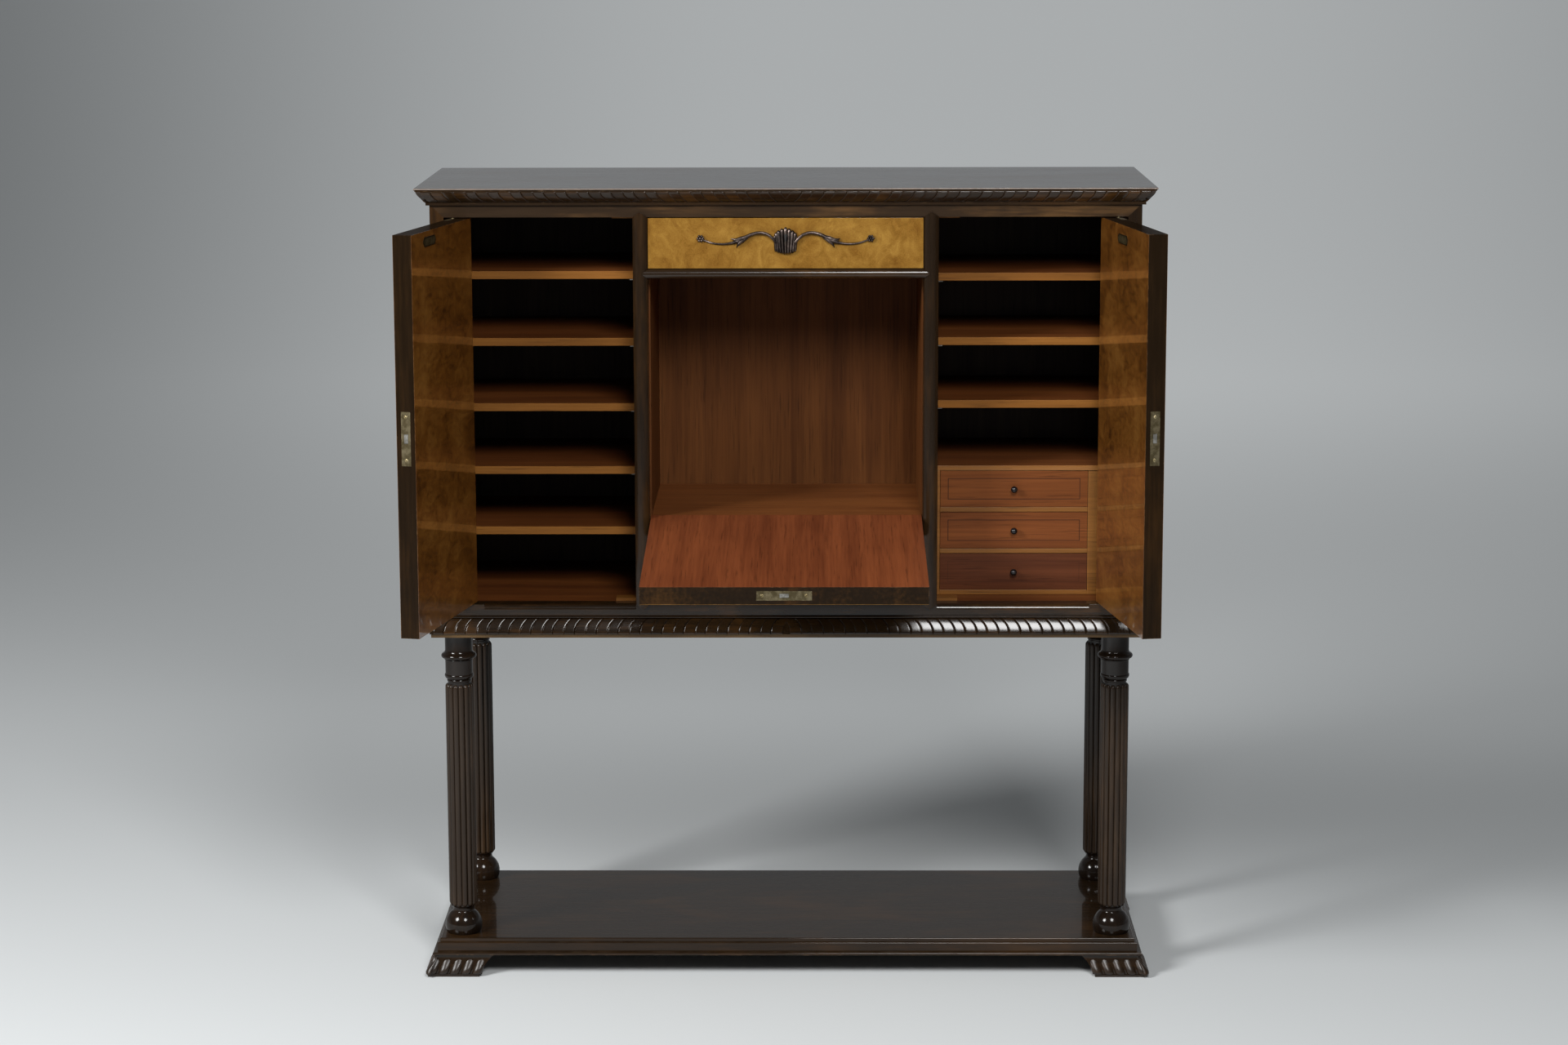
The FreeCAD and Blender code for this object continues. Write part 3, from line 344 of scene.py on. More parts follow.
@dataclass(frozen=True)
class FiguredBirch(Finish):
    """Birch veneer whose curl shimmers across the grain, with short dark flecks."""

    dark: Colour
    middle: Colour
    light: Colour
    ripple_stretch: Point
    ripple: Noise
    fleck_stretch: Point
    fleck: Noise = Noise(120.0, 3.0, 0.65, 0.5)
    hair: Noise = Noise(720.0, 2.0, 0.6)
    cloud: Noise = Noise(9.0, 3.0, 0.55, 0.8)
    fleck_strength: float = 0.55
    gloss: float = 0.3
    cloud_tone: float = 0.45
    ripple_tone: float = 0.55
    hair_tone: float = 0.24
    stops: tuple[float, float, float] = (0.33, 0.5, 0.68)
    fleck_band: tuple[float, float] = (0.56, 0.74)
    hair_rough: float = 0.1
    ripple_relief: float = 0.6
    hair_relief: float = 0.4

    def paint(self, shader: Shader, point: Field) -> Layer:
        """Clouds, ripples and flecks."""
        cloud = shader.noise(point, self.cloud)
        ripple = shader.noise(shader.scaled(point, self.ripple_stretch), self.ripple)
        fleck_point = shader.scaled(point, self.fleck_stretch)
        fleck, hair = shader.noise(fleck_point, self.fleck), shader.noise(fleck_point, self.hair)
        tone = cloud * self.cloud_tone + ripple * self.ripple_tone + (hair - NOISE_MIDDLE) * self.hair_tone
        colour = shader.ramp(tone, list(zip(self.stops, (self.dark, self.middle, self.light))))
        marks = shader.band(fleck, *self.fleck_band) * self.fleck_strength
        colour = shader.mix(marks, colour, self.dark)
        relief = self.ripple_relief * ripple + self.hair_relief * hair
        return Layer(colour, self.gloss + self.hair_rough * hair, relief)


@dataclass(frozen=True)
class Mahogany(Finish):
    """Straight-grained mahogany with ribbon stripes and open pores."""

    grain: Axis
    dark: Colour
    light: Colour
    gloss: float = 0.42
    ribbon: Noise = Noise(26.0, 3.0, 0.6, 0.3, 0.05)
    line: Noise = Noise(234.0, 2.0, 0.6, stretch=0.025)
    pore: Noise = Noise(420.0, 2.0, 0.55, stretch=0.035)
    cloud: Noise = Noise(5.0)
    ribbon_tone: float = 0.5
    line_tone: float = 0.3
    cloud_tone: float = 0.2
    tone_band: tuple[float, float] = (0.3, 0.7)
    pit_band: tuple[float, float] = (0.58, 0.72)
    pit_dark: float = 0.35
    pore_rough: float = 0.12
    line_relief: float = 0.4
    pit_relief: float = 0.6

    def paint(self, shader: Shader, point: Field) -> Layer:
        """Ribbons, growth lines and pores."""
        ribbon, line, pore = (shader.grained(point, self.grain, noise)
                              for noise in (self.ribbon, self.line, self.pore))
        cloud = shader.noise(point, self.cloud)
        tone = ribbon * self.ribbon_tone + line * self.line_tone + cloud * self.cloud_tone
        colour = shader.mix(shader.band(tone, *self.tone_band), self.dark, self.light)
        pits = shader.band(pore, *self.pit_band)
        colour = shader.shade(colour, 1.0 - self.pit_dark * pits)
        relief = line * self.line_relief - pits * self.pit_relief
        return Layer(colour, self.gloss + self.pore_rough * pore, relief)


@dataclass(frozen=True)
class Metal(Finish):
    """Metal that is dulled in patches and finely scratched."""

    dull: Colour
    bright: Colour
    gloss: float = 0.32
    patch: Noise = Noise(90.0, 4.0, 0.65)
    scratch: Noise = Noise(1980.0, stretch=0.06)
    patch_band: tuple[float, float] = (0.38, 0.66)
    patch_rough: float = 0.22
    scratch_rough: float = 0.06
    scratch_relief: float = 0.5

    def paint(self, shader: Shader, point: Field) -> Layer:
        """Tarnish and scratches."""
        patch = shader.noise(point, self.patch)
        scratch = shader.grained(point, Axis.Z, self.scratch)
        colour = shader.mix(shader.band(patch, *self.patch_band), self.dull, self.bright)
        rough = self.gloss + self.patch_rough * (1.0 - patch) + self.scratch_rough * scratch
        return Layer(colour, rough, scratch * self.scratch_relief)


@dataclass(frozen=True)
class Lacquer(Finish):
    """Smooth turned lacquer with faint brush marks."""

    colour: Colour
    sheen: Colour
    gloss: float = 0.1
    mark: Noise = Noise(260.0, 3.0)
    mark_band: tuple[float, float] = (0.5, 0.8)
    mark_rough: float = 0.1
    mark_relief: float = 0.3

    def paint(self, shader: Shader, point: Field) -> Layer:
        """Faint marks in an even coat."""
        mark = shader.noise(point, self.mark)
        colour = shader.mix(shader.band(mark, *self.mark_band), self.colour, self.sheen)
        return Layer(colour, self.gloss + self.mark_rough * mark, mark * self.mark_relief)


@dataclass(frozen=True)
class Split(Finish):
    """One finish below a plane across an axis, and another above it."""

    axis: Axis
    at: float
    below: Finish
    above: Finish
    soft: float = 0.0002

    def paint(self, shader: Shader, point: Field) -> Layer:
        """Both finishes, parted at the plane."""
        place = shader.parts(point)[self.axis.value]
        mask = shader.band(place, self.at - self.soft, self.at + self.soft)
        return overlay(shader, mask, self.below.paint(shader, point), self.above.paint(shader, point))


@dataclass(frozen=True)
class Worn(Finish):
    """A board's finish, with its arrises rubbed through here and there."""

    finish: Finish
    low: Vector
    high: Vector
    bare: Colour = (0.26, 0.145, 0.07)
    amount: float = 0.8
    width: float = 0.0016
    flake: Noise = Noise(55.0, 4.0, 0.7)
    flake_band: tuple[float, float] = (0.5, 0.66)
    bare_share: float = 0.5
    bare_rough: float = 0.15
    bare_drop: float = 0.5

    def paint(self, shader: Shader, point: Field) -> Layer:
        """The finish, with bare wood along the board's edges."""
        under = self.finish.paint(shader, point)
        gaps = []
        for place, low, high in zip(shader.parts(point), self.low, self.high):
            gaps.append((place - low).least(high - place))
        edge = gaps[0].least(gaps[1]).most(gaps[0].most(gaps[1]).least(gaps[2]))
        flake = shader.noise(point, self.flake)
        near = 1.0 - shader.band(edge + (flake - NOISE_MIDDLE) * self.width, 0.0, self.width)
        mask = near * shader.band(flake, *self.flake_band) * self.amount
        bare = shader.mix(self.bare_share, under.colour, self.bare)
        over = Layer(bare, under.rough + self.bare_rough, under.height - self.bare_drop)
        return overlay(shader, mask, under, over)


@dataclass(frozen=True)
class Lined(Finish):
    """A finish with broken lighter lines along level arrises: wear on the cornice's fillets, lines on the
    base's ledges, and a painted highlight along the top board's upper arris.
    """

    finish: Finish
    levels: tuple[float, ...]
    cover: tuple[float, float]
    width: float = 0.0007
    # Colour of the lines; on the top board this is the colour of a painted highlight
    bare: Colour = (0.085, 0.052, 0.028)
    flake: Noise = Noise(32.0, 4.0, 0.7)
    flake_stretch: Point = (1.0, 1.0, 4.0)
    bare_rough: float = 0.2

    def paint(self, shader: Shader, point: Field) -> Layer:
        """The finish, with its broken lighter lines; on the top board these are a painted highlight."""
        under = self.finish.paint(shader, point)
        up = shader.parts(point)[Axis.Z.value]
        flake = shader.noise(shader.scaled(point, self.flake_stretch), self.flake)
        near = shader.band((up - self.levels[0]).size(), self.width, self.width / 2)
        for level in self.levels[1:]:
            near = near.most(shader.band((up - level).size(), self.width, self.width / 2))
        over = Layer(self.bare, under.rough + self.bare_rough, under.height)
        return overlay(shader, near * shader.band(flake, *self.cover), under, over)


@dataclass(frozen=True)
class Strung(Finish):
    """A drawer front with a rectangle of dark stringing let into its face."""

    finish: Finish
    low: Vector
    high: Vector
    inset: float = 0.0128
    width: float = 0.0013
    line: Colour = (0.03, 0.011, 0.006)
    strength: float = 0.9
    soft_share: float = 0.4

    def paint(self, shader: Shader, point: Field) -> Layer:
        """The finish with its line."""
        under = self.finish.paint(shader, point)
        across, _, up = shader.parts(point)
        side = (across - self.low.x).least(self.high.x - across)
        edge = side.least((up - self.low.z).least(self.high.z - up))
        half = self.width / 2
        soft = self.soft_share * half
        mask = 1.0 - shader.band((edge - self.inset).size(), half - soft, half + soft)
        over = Layer(self.line, under.rough, under.height)
        return overlay(shader, mask * self.strength, under, over)


@dataclass(frozen=True)
class Hinge:
    """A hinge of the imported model: it turns points between the stored pose and the shut one."""

    pivot: Vector
    axis: Vector
    shut: float

    @classmethod
    def named(cls, name: str) -> "Hinge":
        """The hinge of that name."""
        joint = next(joint for joint in frame["joints"] if joint["name"] == name)
        return cls(Vector(joint["pos_m"]), Vector(joint["axis"]), math.radians(joint["range_deg"][0]))

    def opening(self) -> Matrix:
        """The move from the shut pose to the stored one."""
        turn = Matrix.Rotation(-self.shut, 4, self.axis)
        return Matrix.Translation(self.pivot) @ turn @ Matrix.Translation(-self.pivot)

    def shut_box(self, node: str) -> tuple[Vector, Vector]:
        """Lowest and highest corner of a node when it is shut."""
        back = self.opening().inverted()
        places = np.array([back @ vertex.co for vertex in frame["nodes"][node].data.vertices])
        return Vector(places.min(0)), Vector(places.max(0))


@dataclass(frozen=True)
class Polish:
    """What lies over a finish: its clear coat, and how deep its relief is."""

    coat: float = 0.0
    coat_rough: float = 0.06
    coat_index: float = 1.5
    specular: float = 0.5
    relief: float = 0.00006
    metallic: float = 0.0


def material(name: str, finish: Finish, polish: Polish) -> bpy.types.Material:
    """Makes a material.

    Args:
        name: The material's name.
        finish: What it shows.
        polish: What lies over that.

    Returns:
        The material.
    """
    shader = Shader(name)
    shader.show(surface(shader, finish.paint(shader, shader.point()), polish))
    return shader.material


def surface(shader: Shader, layer: Layer, polish: Polish) -> Field:
    """A finish's layer under its polish.

    Args:
        shader: Where the nodes go.
        layer: What the finish shows.
        polish: What lies over it.

    Returns:
        The surface.
    """
    bump = {"Distance": polish.relief, "Strength": 1.0, "Height": layer.height}
    inputs = {
        "Base Color": layer.colour,
        "Roughness": layer.rough,
        "Metallic": polish.metallic,
        "Specular IOR Level": polish.specular,
        "Coat Weight": polish.coat,
        "Coat Roughness": polish.coat_rough,
        "Coat IOR": polish.coat_index,
        "Normal": shader.add("ShaderNodeBump", {}, bump, "Normal"),
    }
    return shader.add("ShaderNodeBsdfPrincipled", {}, inputs)


# Meshes


@dataclass
class Shape:
    """Faces that are gathered into one mesh."""

    points: list[Point] = field(default_factory=list)
    faces: list[tuple[int, ...]] = field(default_factory=list)

    def grid(self, rows: np.ndarray, wrap: bool = False) -> None:
        """Adds a sheet of quads.

        Args:
            rows: Points as an array of rows, columns and coordinates.
            wrap: Whether each row closes on itself.
        """
        count, width = rows.shape[:2]
        start = len(self.points)
        self.points.extend(map(tuple, rows.reshape(-1, 3)))
        for i in range(count - 1):
            for j in range(width if wrap else width - 1):
                k = (j + 1) % width
                corners = (i * width + j, i * width + k, (i + 1) * width + k, (i + 1) * width + j)
                self.faces.append(tuple(start + corner for corner in corners))

    def cap(self, loop: np.ndarray) -> None:
        """Closes a loop of points with a fan about its middle."""
        start = len(self.points)
        self.points.extend(map(tuple, loop))
        self.points.append(tuple(loop.mean(0)))
        count = len(loop)
        for i in range(count):
            self.faces.append((start + i, start + (i + 1) % count, start + count))

    def tube(self, rings: np.ndarray) -> None:
        """Adds a closed tube: a sheet through rings, with both ends capped."""
        self.grid(rings, wrap=True)
        self.cap(rings[0])
        self.cap(rings[-1])

    def mesh(self, name: str) -> bpy.types.Mesh:
        """The gathered faces as a welded mesh whose faces point outwards."""
        mesh = bpy.data.meshes.new(name)
        mesh.from_pydata(self.points, [], self.faces)
        work = bmesh.new()
        work.from_mesh(mesh)
        bmesh.ops.remove_doubles(work, verts=work.verts, dist=WELD)
        bmesh.ops.dissolve_degenerate(work, edges=work.edges, dist=WELD)
        bmesh.ops.recalc_face_normals(work, faces=work.faces)
        for face in work.faces:
            face.smooth = True
        work.to_mesh(mesh)
        work.free()
        return mesh


def joined(name: str, meshes: Sequence[bpy.types.Mesh]) -> bpy.types.Mesh:
    """Several meshes as one, with each mesh's materials kept.

    Args:
        name: The new mesh's name.
        meshes: The meshes, which are used up.

    Returns:
        The new mesh.
    """
    result = bpy.data.meshes.new(name)
    work = bmesh.new()
    for mesh in meshes:
        first = len(work.faces)
        places = []
        for item in mesh.materials:
            if result.materials.find(item.name) < 0:
                result.materials.append(item)
            places.append(result.materials.find(item.name))
        work.from_mesh(mesh)
        work.faces.ensure_lookup_table()
        for face in work.faces[first:]:
            face.material_index = places[min(face.material_index, len(places) - 1)]
        bpy.data.meshes.remove(mesh)
    work.to_mesh(result)
    work.free()
    return result


def dressed(mesh: bpy.types.Mesh, finish: bpy.types.Material) -> bpy.types.Mesh:
    """The mesh with one material all over."""
    mesh.materials.clear()
    mesh.materials.append(finish)
    mesh.polygons.foreach_set("material_index", np.zeros(len(mesh.polygons), dtype=np.int32))
    return mesh


def sharpen(mesh: bpy.types.Mesh, degrees: float = 38.0) -> bpy.types.Mesh:
    """The mesh with its arrises kept sharp under smooth shading."""
    work = bmesh.new()
    work.from_mesh(mesh)
    for edge in work.edges:
        if len(edge.link_faces) == 2 and edge.calc_face_angle(0.0) > math.radians(degrees):
            edge.smooth = False
    work.to_mesh(mesh)
    work.free()
    return mesh


def piece(name: str, mesh: bpy.types.Mesh, body: str, slot: str, *nodes: str) -> bpy.types.Object:
    """Puts a finished mesh on a body.

    Args:
        name: The piece's name.
        mesh: Its mesh, in the frame.
        body: The body that it rides on.
        slot: The record's material slot; not used.
        nodes: The nodes that it stands for.

    Returns:
        The piece.
    """
    item = bpy.data.objects.new(name, mesh)
    bpy.context.scene.collection.objects.link(item)
    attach(item, body)
    if nodes:
        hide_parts(*nodes)
    log.info("%s: %d faces on %s", name, len(mesh.polygons), body)
    return item


class Repeat:
    """A Geometry Nodes tree that repeats a shape along a line, round an axis, or both."""

    def __init__(self) -> None:
        """Builds the tree with its named inputs."""
        self.group = bpy.data.node_groups.new("repeat", "GeometryNodeTree")
        sides = self.group.interface
        sides.new_socket("Shape", in_out="INPUT", socket_type="NodeSocketGeometry")
        sides.new_socket("Count", in_out="INPUT", socket_type="NodeSocketInt")
        sides.new_socket("Start", in_out="INPUT", socket_type="NodeSocketVector")
        sides.new_socket("Step", in_out="INPUT", socket_type="NodeSocketVector")
        sides.new_socket("Turn", in_out="INPUT", socket_type="NodeSocketFloat")
        sides.new_socket("Twist", in_out="INPUT", socket_type="NodeSocketFloat")
        sides.new_socket("Finish", in_out="INPUT", socket_type="NodeSocketMaterial")
        sides.new_socket("Shape", in_out="OUTPUT", socket_type="NodeSocketGeometry")
        tree = Tree(self.group)
        source = self.group.nodes.new("NodeGroupInput")
        given = {socket.name: Field(tree, socket) for socket in source.outputs if socket.name}
        index = tree.add("GeometryNodeInputIndex", {}, {})
        travel = tree.add("ShaderNodeVectorMath", {"operation": "SCALE"},
                          {0: given["Step"], "Scale": index})
        place = tree.add("ShaderNodeVectorMath", {"operation": "ADD"}, {0: given["Start"], 1: travel})
        points = tree.add("GeometryNodePoints", {}, {"Count": given["Count"], "Position": place})
        angle = given["Turn"] + given["Twist"] * index
        turn = tree.add("ShaderNodeCombineXYZ", {}, {"Z": angle})
        copies = tree.add("GeometryNodeInstanceOnPoints", {},
                          {"Points": points, "Instance": given["Shape"], "Rotation": turn})
        real = tree.add("GeometryNodeRealizeInstances", {}, {"Geometry": copies})
        done = tree.add("GeometryNodeSetMaterial", {}, {"Geometry": real, "Material": given["Finish"]})
        output = self.group.nodes.new("NodeGroupOutput")
        self.group.links.new(done.socket, output.inputs["Shape"])
        self.sockets = {item.name: item.identifier for item in sides.items_tree
                        if item.in_out == "INPUT"}

    def make(self, shape: bpy.types.Mesh, finish: bpy.types.Material, count: int, start: Vector,
             step: Vector = Vector(), turn: float = 0.0, twist: float = 0.0) -> bpy.types.Mesh:
        """Repeats a shape.

        Args:
            shape: The shape, about the origin.
            finish: The material of every copy.
            count: How many copies.
            start: The first copy's place.
            step: From each copy to the next.
            turn: The first copy's turn about Z.
            twist: The turn from each copy to the next.

        Returns:
            All copies as one plain mesh.
        """
        carrier = bpy.data.objects.new("repeat_carrier", shape)
        bpy.context.scene.collection.objects.link(carrier)
        modifier = carrier.modifiers.new("repeat", "NODES")
        modifier.node_group = self.group
        values = {"Count": count, "Start": start, "Step": step, "Turn": turn, "Twist": twist,
                  "Finish": finish}
        for name, value in values.items():
            modifier[self.sockets[name]] = value
        carrier.update_tag()
        graph = bpy.context.evaluated_depsgraph_get()
        mesh = bpy.data.meshes.new_from_object(carrier.evaluated_get(graph))
        carrier.modifiers.remove(modifier)
        bpy.data.objects.remove(carrier)
        return dressed(mesh, finish)


# Turned legs


@dataclass
class Column:
    """One turned leg: ball, reeded shaft, necking, capital and ring."""

    node: str
    ball_radius: float = 0.0304
    ball_flat: float = 0.0277
    ball_widest: float = 0.0125
    ball_height: float = 0.036
    neck_radius: float = 0.0186
    neck_height: float = 0.010
    waist_radius: float = 0.0176
    waist_height: float = 0.003
    flare_radius: float = 0.0205
    shaft_radius: float = 0.0232
    reed_count: int = 14
    reed_flat: float = 0.8
    gap_height: float = 0.003
    necking_radius: float = 0.0199
    necking_height: float = 0.005
    under_height: float = 0.006
    capital_radius: float = 0.0224
    capital_lip: float = 0.0012
    lower_height: float = 0.028
    ring_radius: float = 0.0287
    ring_height: float = 0.014
    ring_bead: float = 0.0096
    upper_height: float = 0.0285
    sides: int = 72
    bead_count: int = 13
    shoulder_row: int = 9
    lip_height: float = 0.0024
    cove_lean: float = 0.3
    cove_rise: float = 0.4
    reed_dome: float = 1.35
    reed_tuck: float = 0.4
    reed_rows: int = 7
    reed_sides: int = 16

    @property
    def foot_z(self) -> float:
        """Where the ball stands on the base board."""
        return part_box("base_board")[1].z

    @property
    def top_z(self) -> float:
        """Where the capital meets the bottom board."""
        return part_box("bottom_board")[0].z

    @property
    def ring_low(self) -> float:
        """Where the capital's ring begins."""
        return self.top_z - self.upper_height - self.ring_height

    @property
    def reed_ends(self) -> tuple[float, float]:
        """Lower and upper end of the reeds."""
        low = self.foot_z + self.ball_height + self.neck_height
        high = self.ring_low - self.lower_height
        return low, high - self.under_height - self.necking_height - self.gap_height

    def reed(self) -> tuple[float, float, float]:
        """Half width and depth of a reed, and radius of the circle that the reeds stand on."""
        share = math.sin(math.pi / self.reed_count)
        circle = self.shaft_radius / (1 + self.reed_flat * share)
        return circle * share, self.shaft_radius - circle, circle

    def outline(self) -> list[tuple[float, float]]:
        """The turned outline as (radius, height) from the ball up."""
        foot, top = self.foot_z, self.top_z
        neck_low = foot + self.ball_height
        reed_low, reed_high = self.reed_ends
        capital_low = self.ring_low - self.lower_height
        neck, plain, lip = self.neck_radius, self.capital_radius, self.capital_lip
        core = self.reed()[2]
        points = [(0.0, foot)]
        widest = (self.ball_radius, foot + self.ball_widest)
        points += self.bow((self.ball_flat, foot), widest, (neck, neck_low))
        waist = (self.waist_radius, neck_low + self.waist_height)
        points += self.bow((neck, neck_low), waist, (self.flare_radius, reed_low))
        points += [(core, reed_low), (core, reed_high), (neck, reed_high)]
        necking_low = reed_high + self.gap_height
        points += self.bead(neck, self.necking_radius, necking_low, necking_low + self.necking_height)
        middle, tall = self.bead_count // 2, self.lip_height
        under = capital_low - self.under_height
        points += self.bead(neck, plain + lip, under, capital_low + self.under_height)[:middle + 1]
        points += self.bead(plain, plain + lip, capital_low - tall, capital_low + tall)[middle:]
        points += self.bead(plain, plain + lip, self.ring_low - tall, self.ring_low)
        bead = self.bead(plain, self.ring_radius, self.ring_low, self.ring_low + self.ring_bead)
        shoulder = bead[self.shoulder_row]
        cove_top = (plain, self.ring_low + self.ring_height)
        hollow = (plain + self.cove_lean * (shoulder[0] - plain),
                  shoulder[1] + self.cove_rise * (cove_top[1] - shoulder[1]))
        points += bead[:self.shoulder_row] + self.bow(shoulder, hollow, cove_top)
        points += [(plain, top), (0.0, top)]
        return points

    @staticmethod
    def bow(first: tuple[float, float], second: tuple[float, float], third: tuple[float, float],
            count: int = 25) -> list[tuple[float, float]]:
        """Points of the outline's arc through three points."""
        (ax, az), (bx, bz), (cx, cz) = first, second, third
        rows = np.array([[bx - ax, bz - az], [cx - ax, cz - az]])
        squares = np.array([bx ** 2 - ax ** 2 + bz ** 2 - az ** 2, cx ** 2 - ax ** 2 + cz ** 2 - az ** 2])
        middle_x, middle_z = np.linalg.solve(rows, squares / 2)
        radius = math.hypot(ax - middle_x, az - middle_z)
        away = math.copysign(1.0, bx - middle_x)
        low, high = (math.atan2(z - middle_z, away * (x - middle_x)) for x, z in (first, third))
        return [(middle_x + away * radius * math.cos(a), middle_z + radius * math.sin(a))
                for a in np.linspace(low, high, count)]

    def bead(self, inner: float, outer: float, low: float, high: float) -> list[tuple[float, float]]:
        """A half-round bead's outline between two heights."""
        middle, half = (low + high) / 2, (high - low) / 2
        angles = np.linspace(-math.pi / 2, math.pi / 2, self.bead_count)
        return [(inner + (outer - inner) * math.cos(a), middle + half * math.sin(a)) for a in angles]

    def shaft_reed(self) -> bpy.types.Mesh:
        """One reed with rounded ends, standing on its circle."""
        radius, depth, circle = self.reed()
        low, high = self.reed_ends
        dome = self.reed_dome * radius
        levels = []
        for angle in np.linspace(-math.pi / 2, 0, self.reed_rows)[1:]:
            levels.append((low + dome * (1 + math.sin(angle)), math.cos(angle)))
        for angle in np.linspace(0, math.pi / 2, self.reed_rows)[:-1]:
            levels.append((high - dome * (1 - math.sin(angle)), math.cos(angle)))
        around = np.linspace(0, 2 * math.pi, self.reed_sides, endpoint=False)
        rings = np.empty((len(levels), len(around), 3))
        for ring, (z, share) in zip(rings, levels):
            ring[:, 0] = circle - self.reed_tuck * depth * (1 - share) + depth * share * np.cos(around)
            ring[:, 1] = radius * share * np.sin(around)
            ring[:, 2] = z
        shape = Shape()
        shape.tube(rings)
        return shape.mesh("reed")

    def build(self, repeat: Repeat, turned: bpy.types.Material, reeded: bpy.types.Material) -> None:
        """Makes the leg and puts it in its node's place."""
        low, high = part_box(self.node)
        centre = (low + high) / 2
        centre.z = 0.0
        around = np.linspace(0, 2 * math.pi, self.sides, endpoint=False)
        outline = np.array(self.outline())
        rings = np.empty((len(outline), self.sides, 3))
        rings[..., 0] = centre.x + outline[:, :1] * np.cos(around)
        rings[..., 1] = centre.y + outline[:, :1] * np.sin(around)
        rings[..., 2] = outline[:, 1:]
        shape = Shape()
        shape.grid(rings, wrap=True)
        core = sharpen(dressed(shape.mesh("turned"), turned))
        twist = 2 * math.pi / self.reed_count
        reeds = repeat.make(self.shaft_reed(), reeded, self.reed_count, centre, twist=twist)
        piece(f"{self.node}_turned", joined(self.node, [core, reeds]), "cabinet", "stained_birch", self.node)


# Carved mouldings


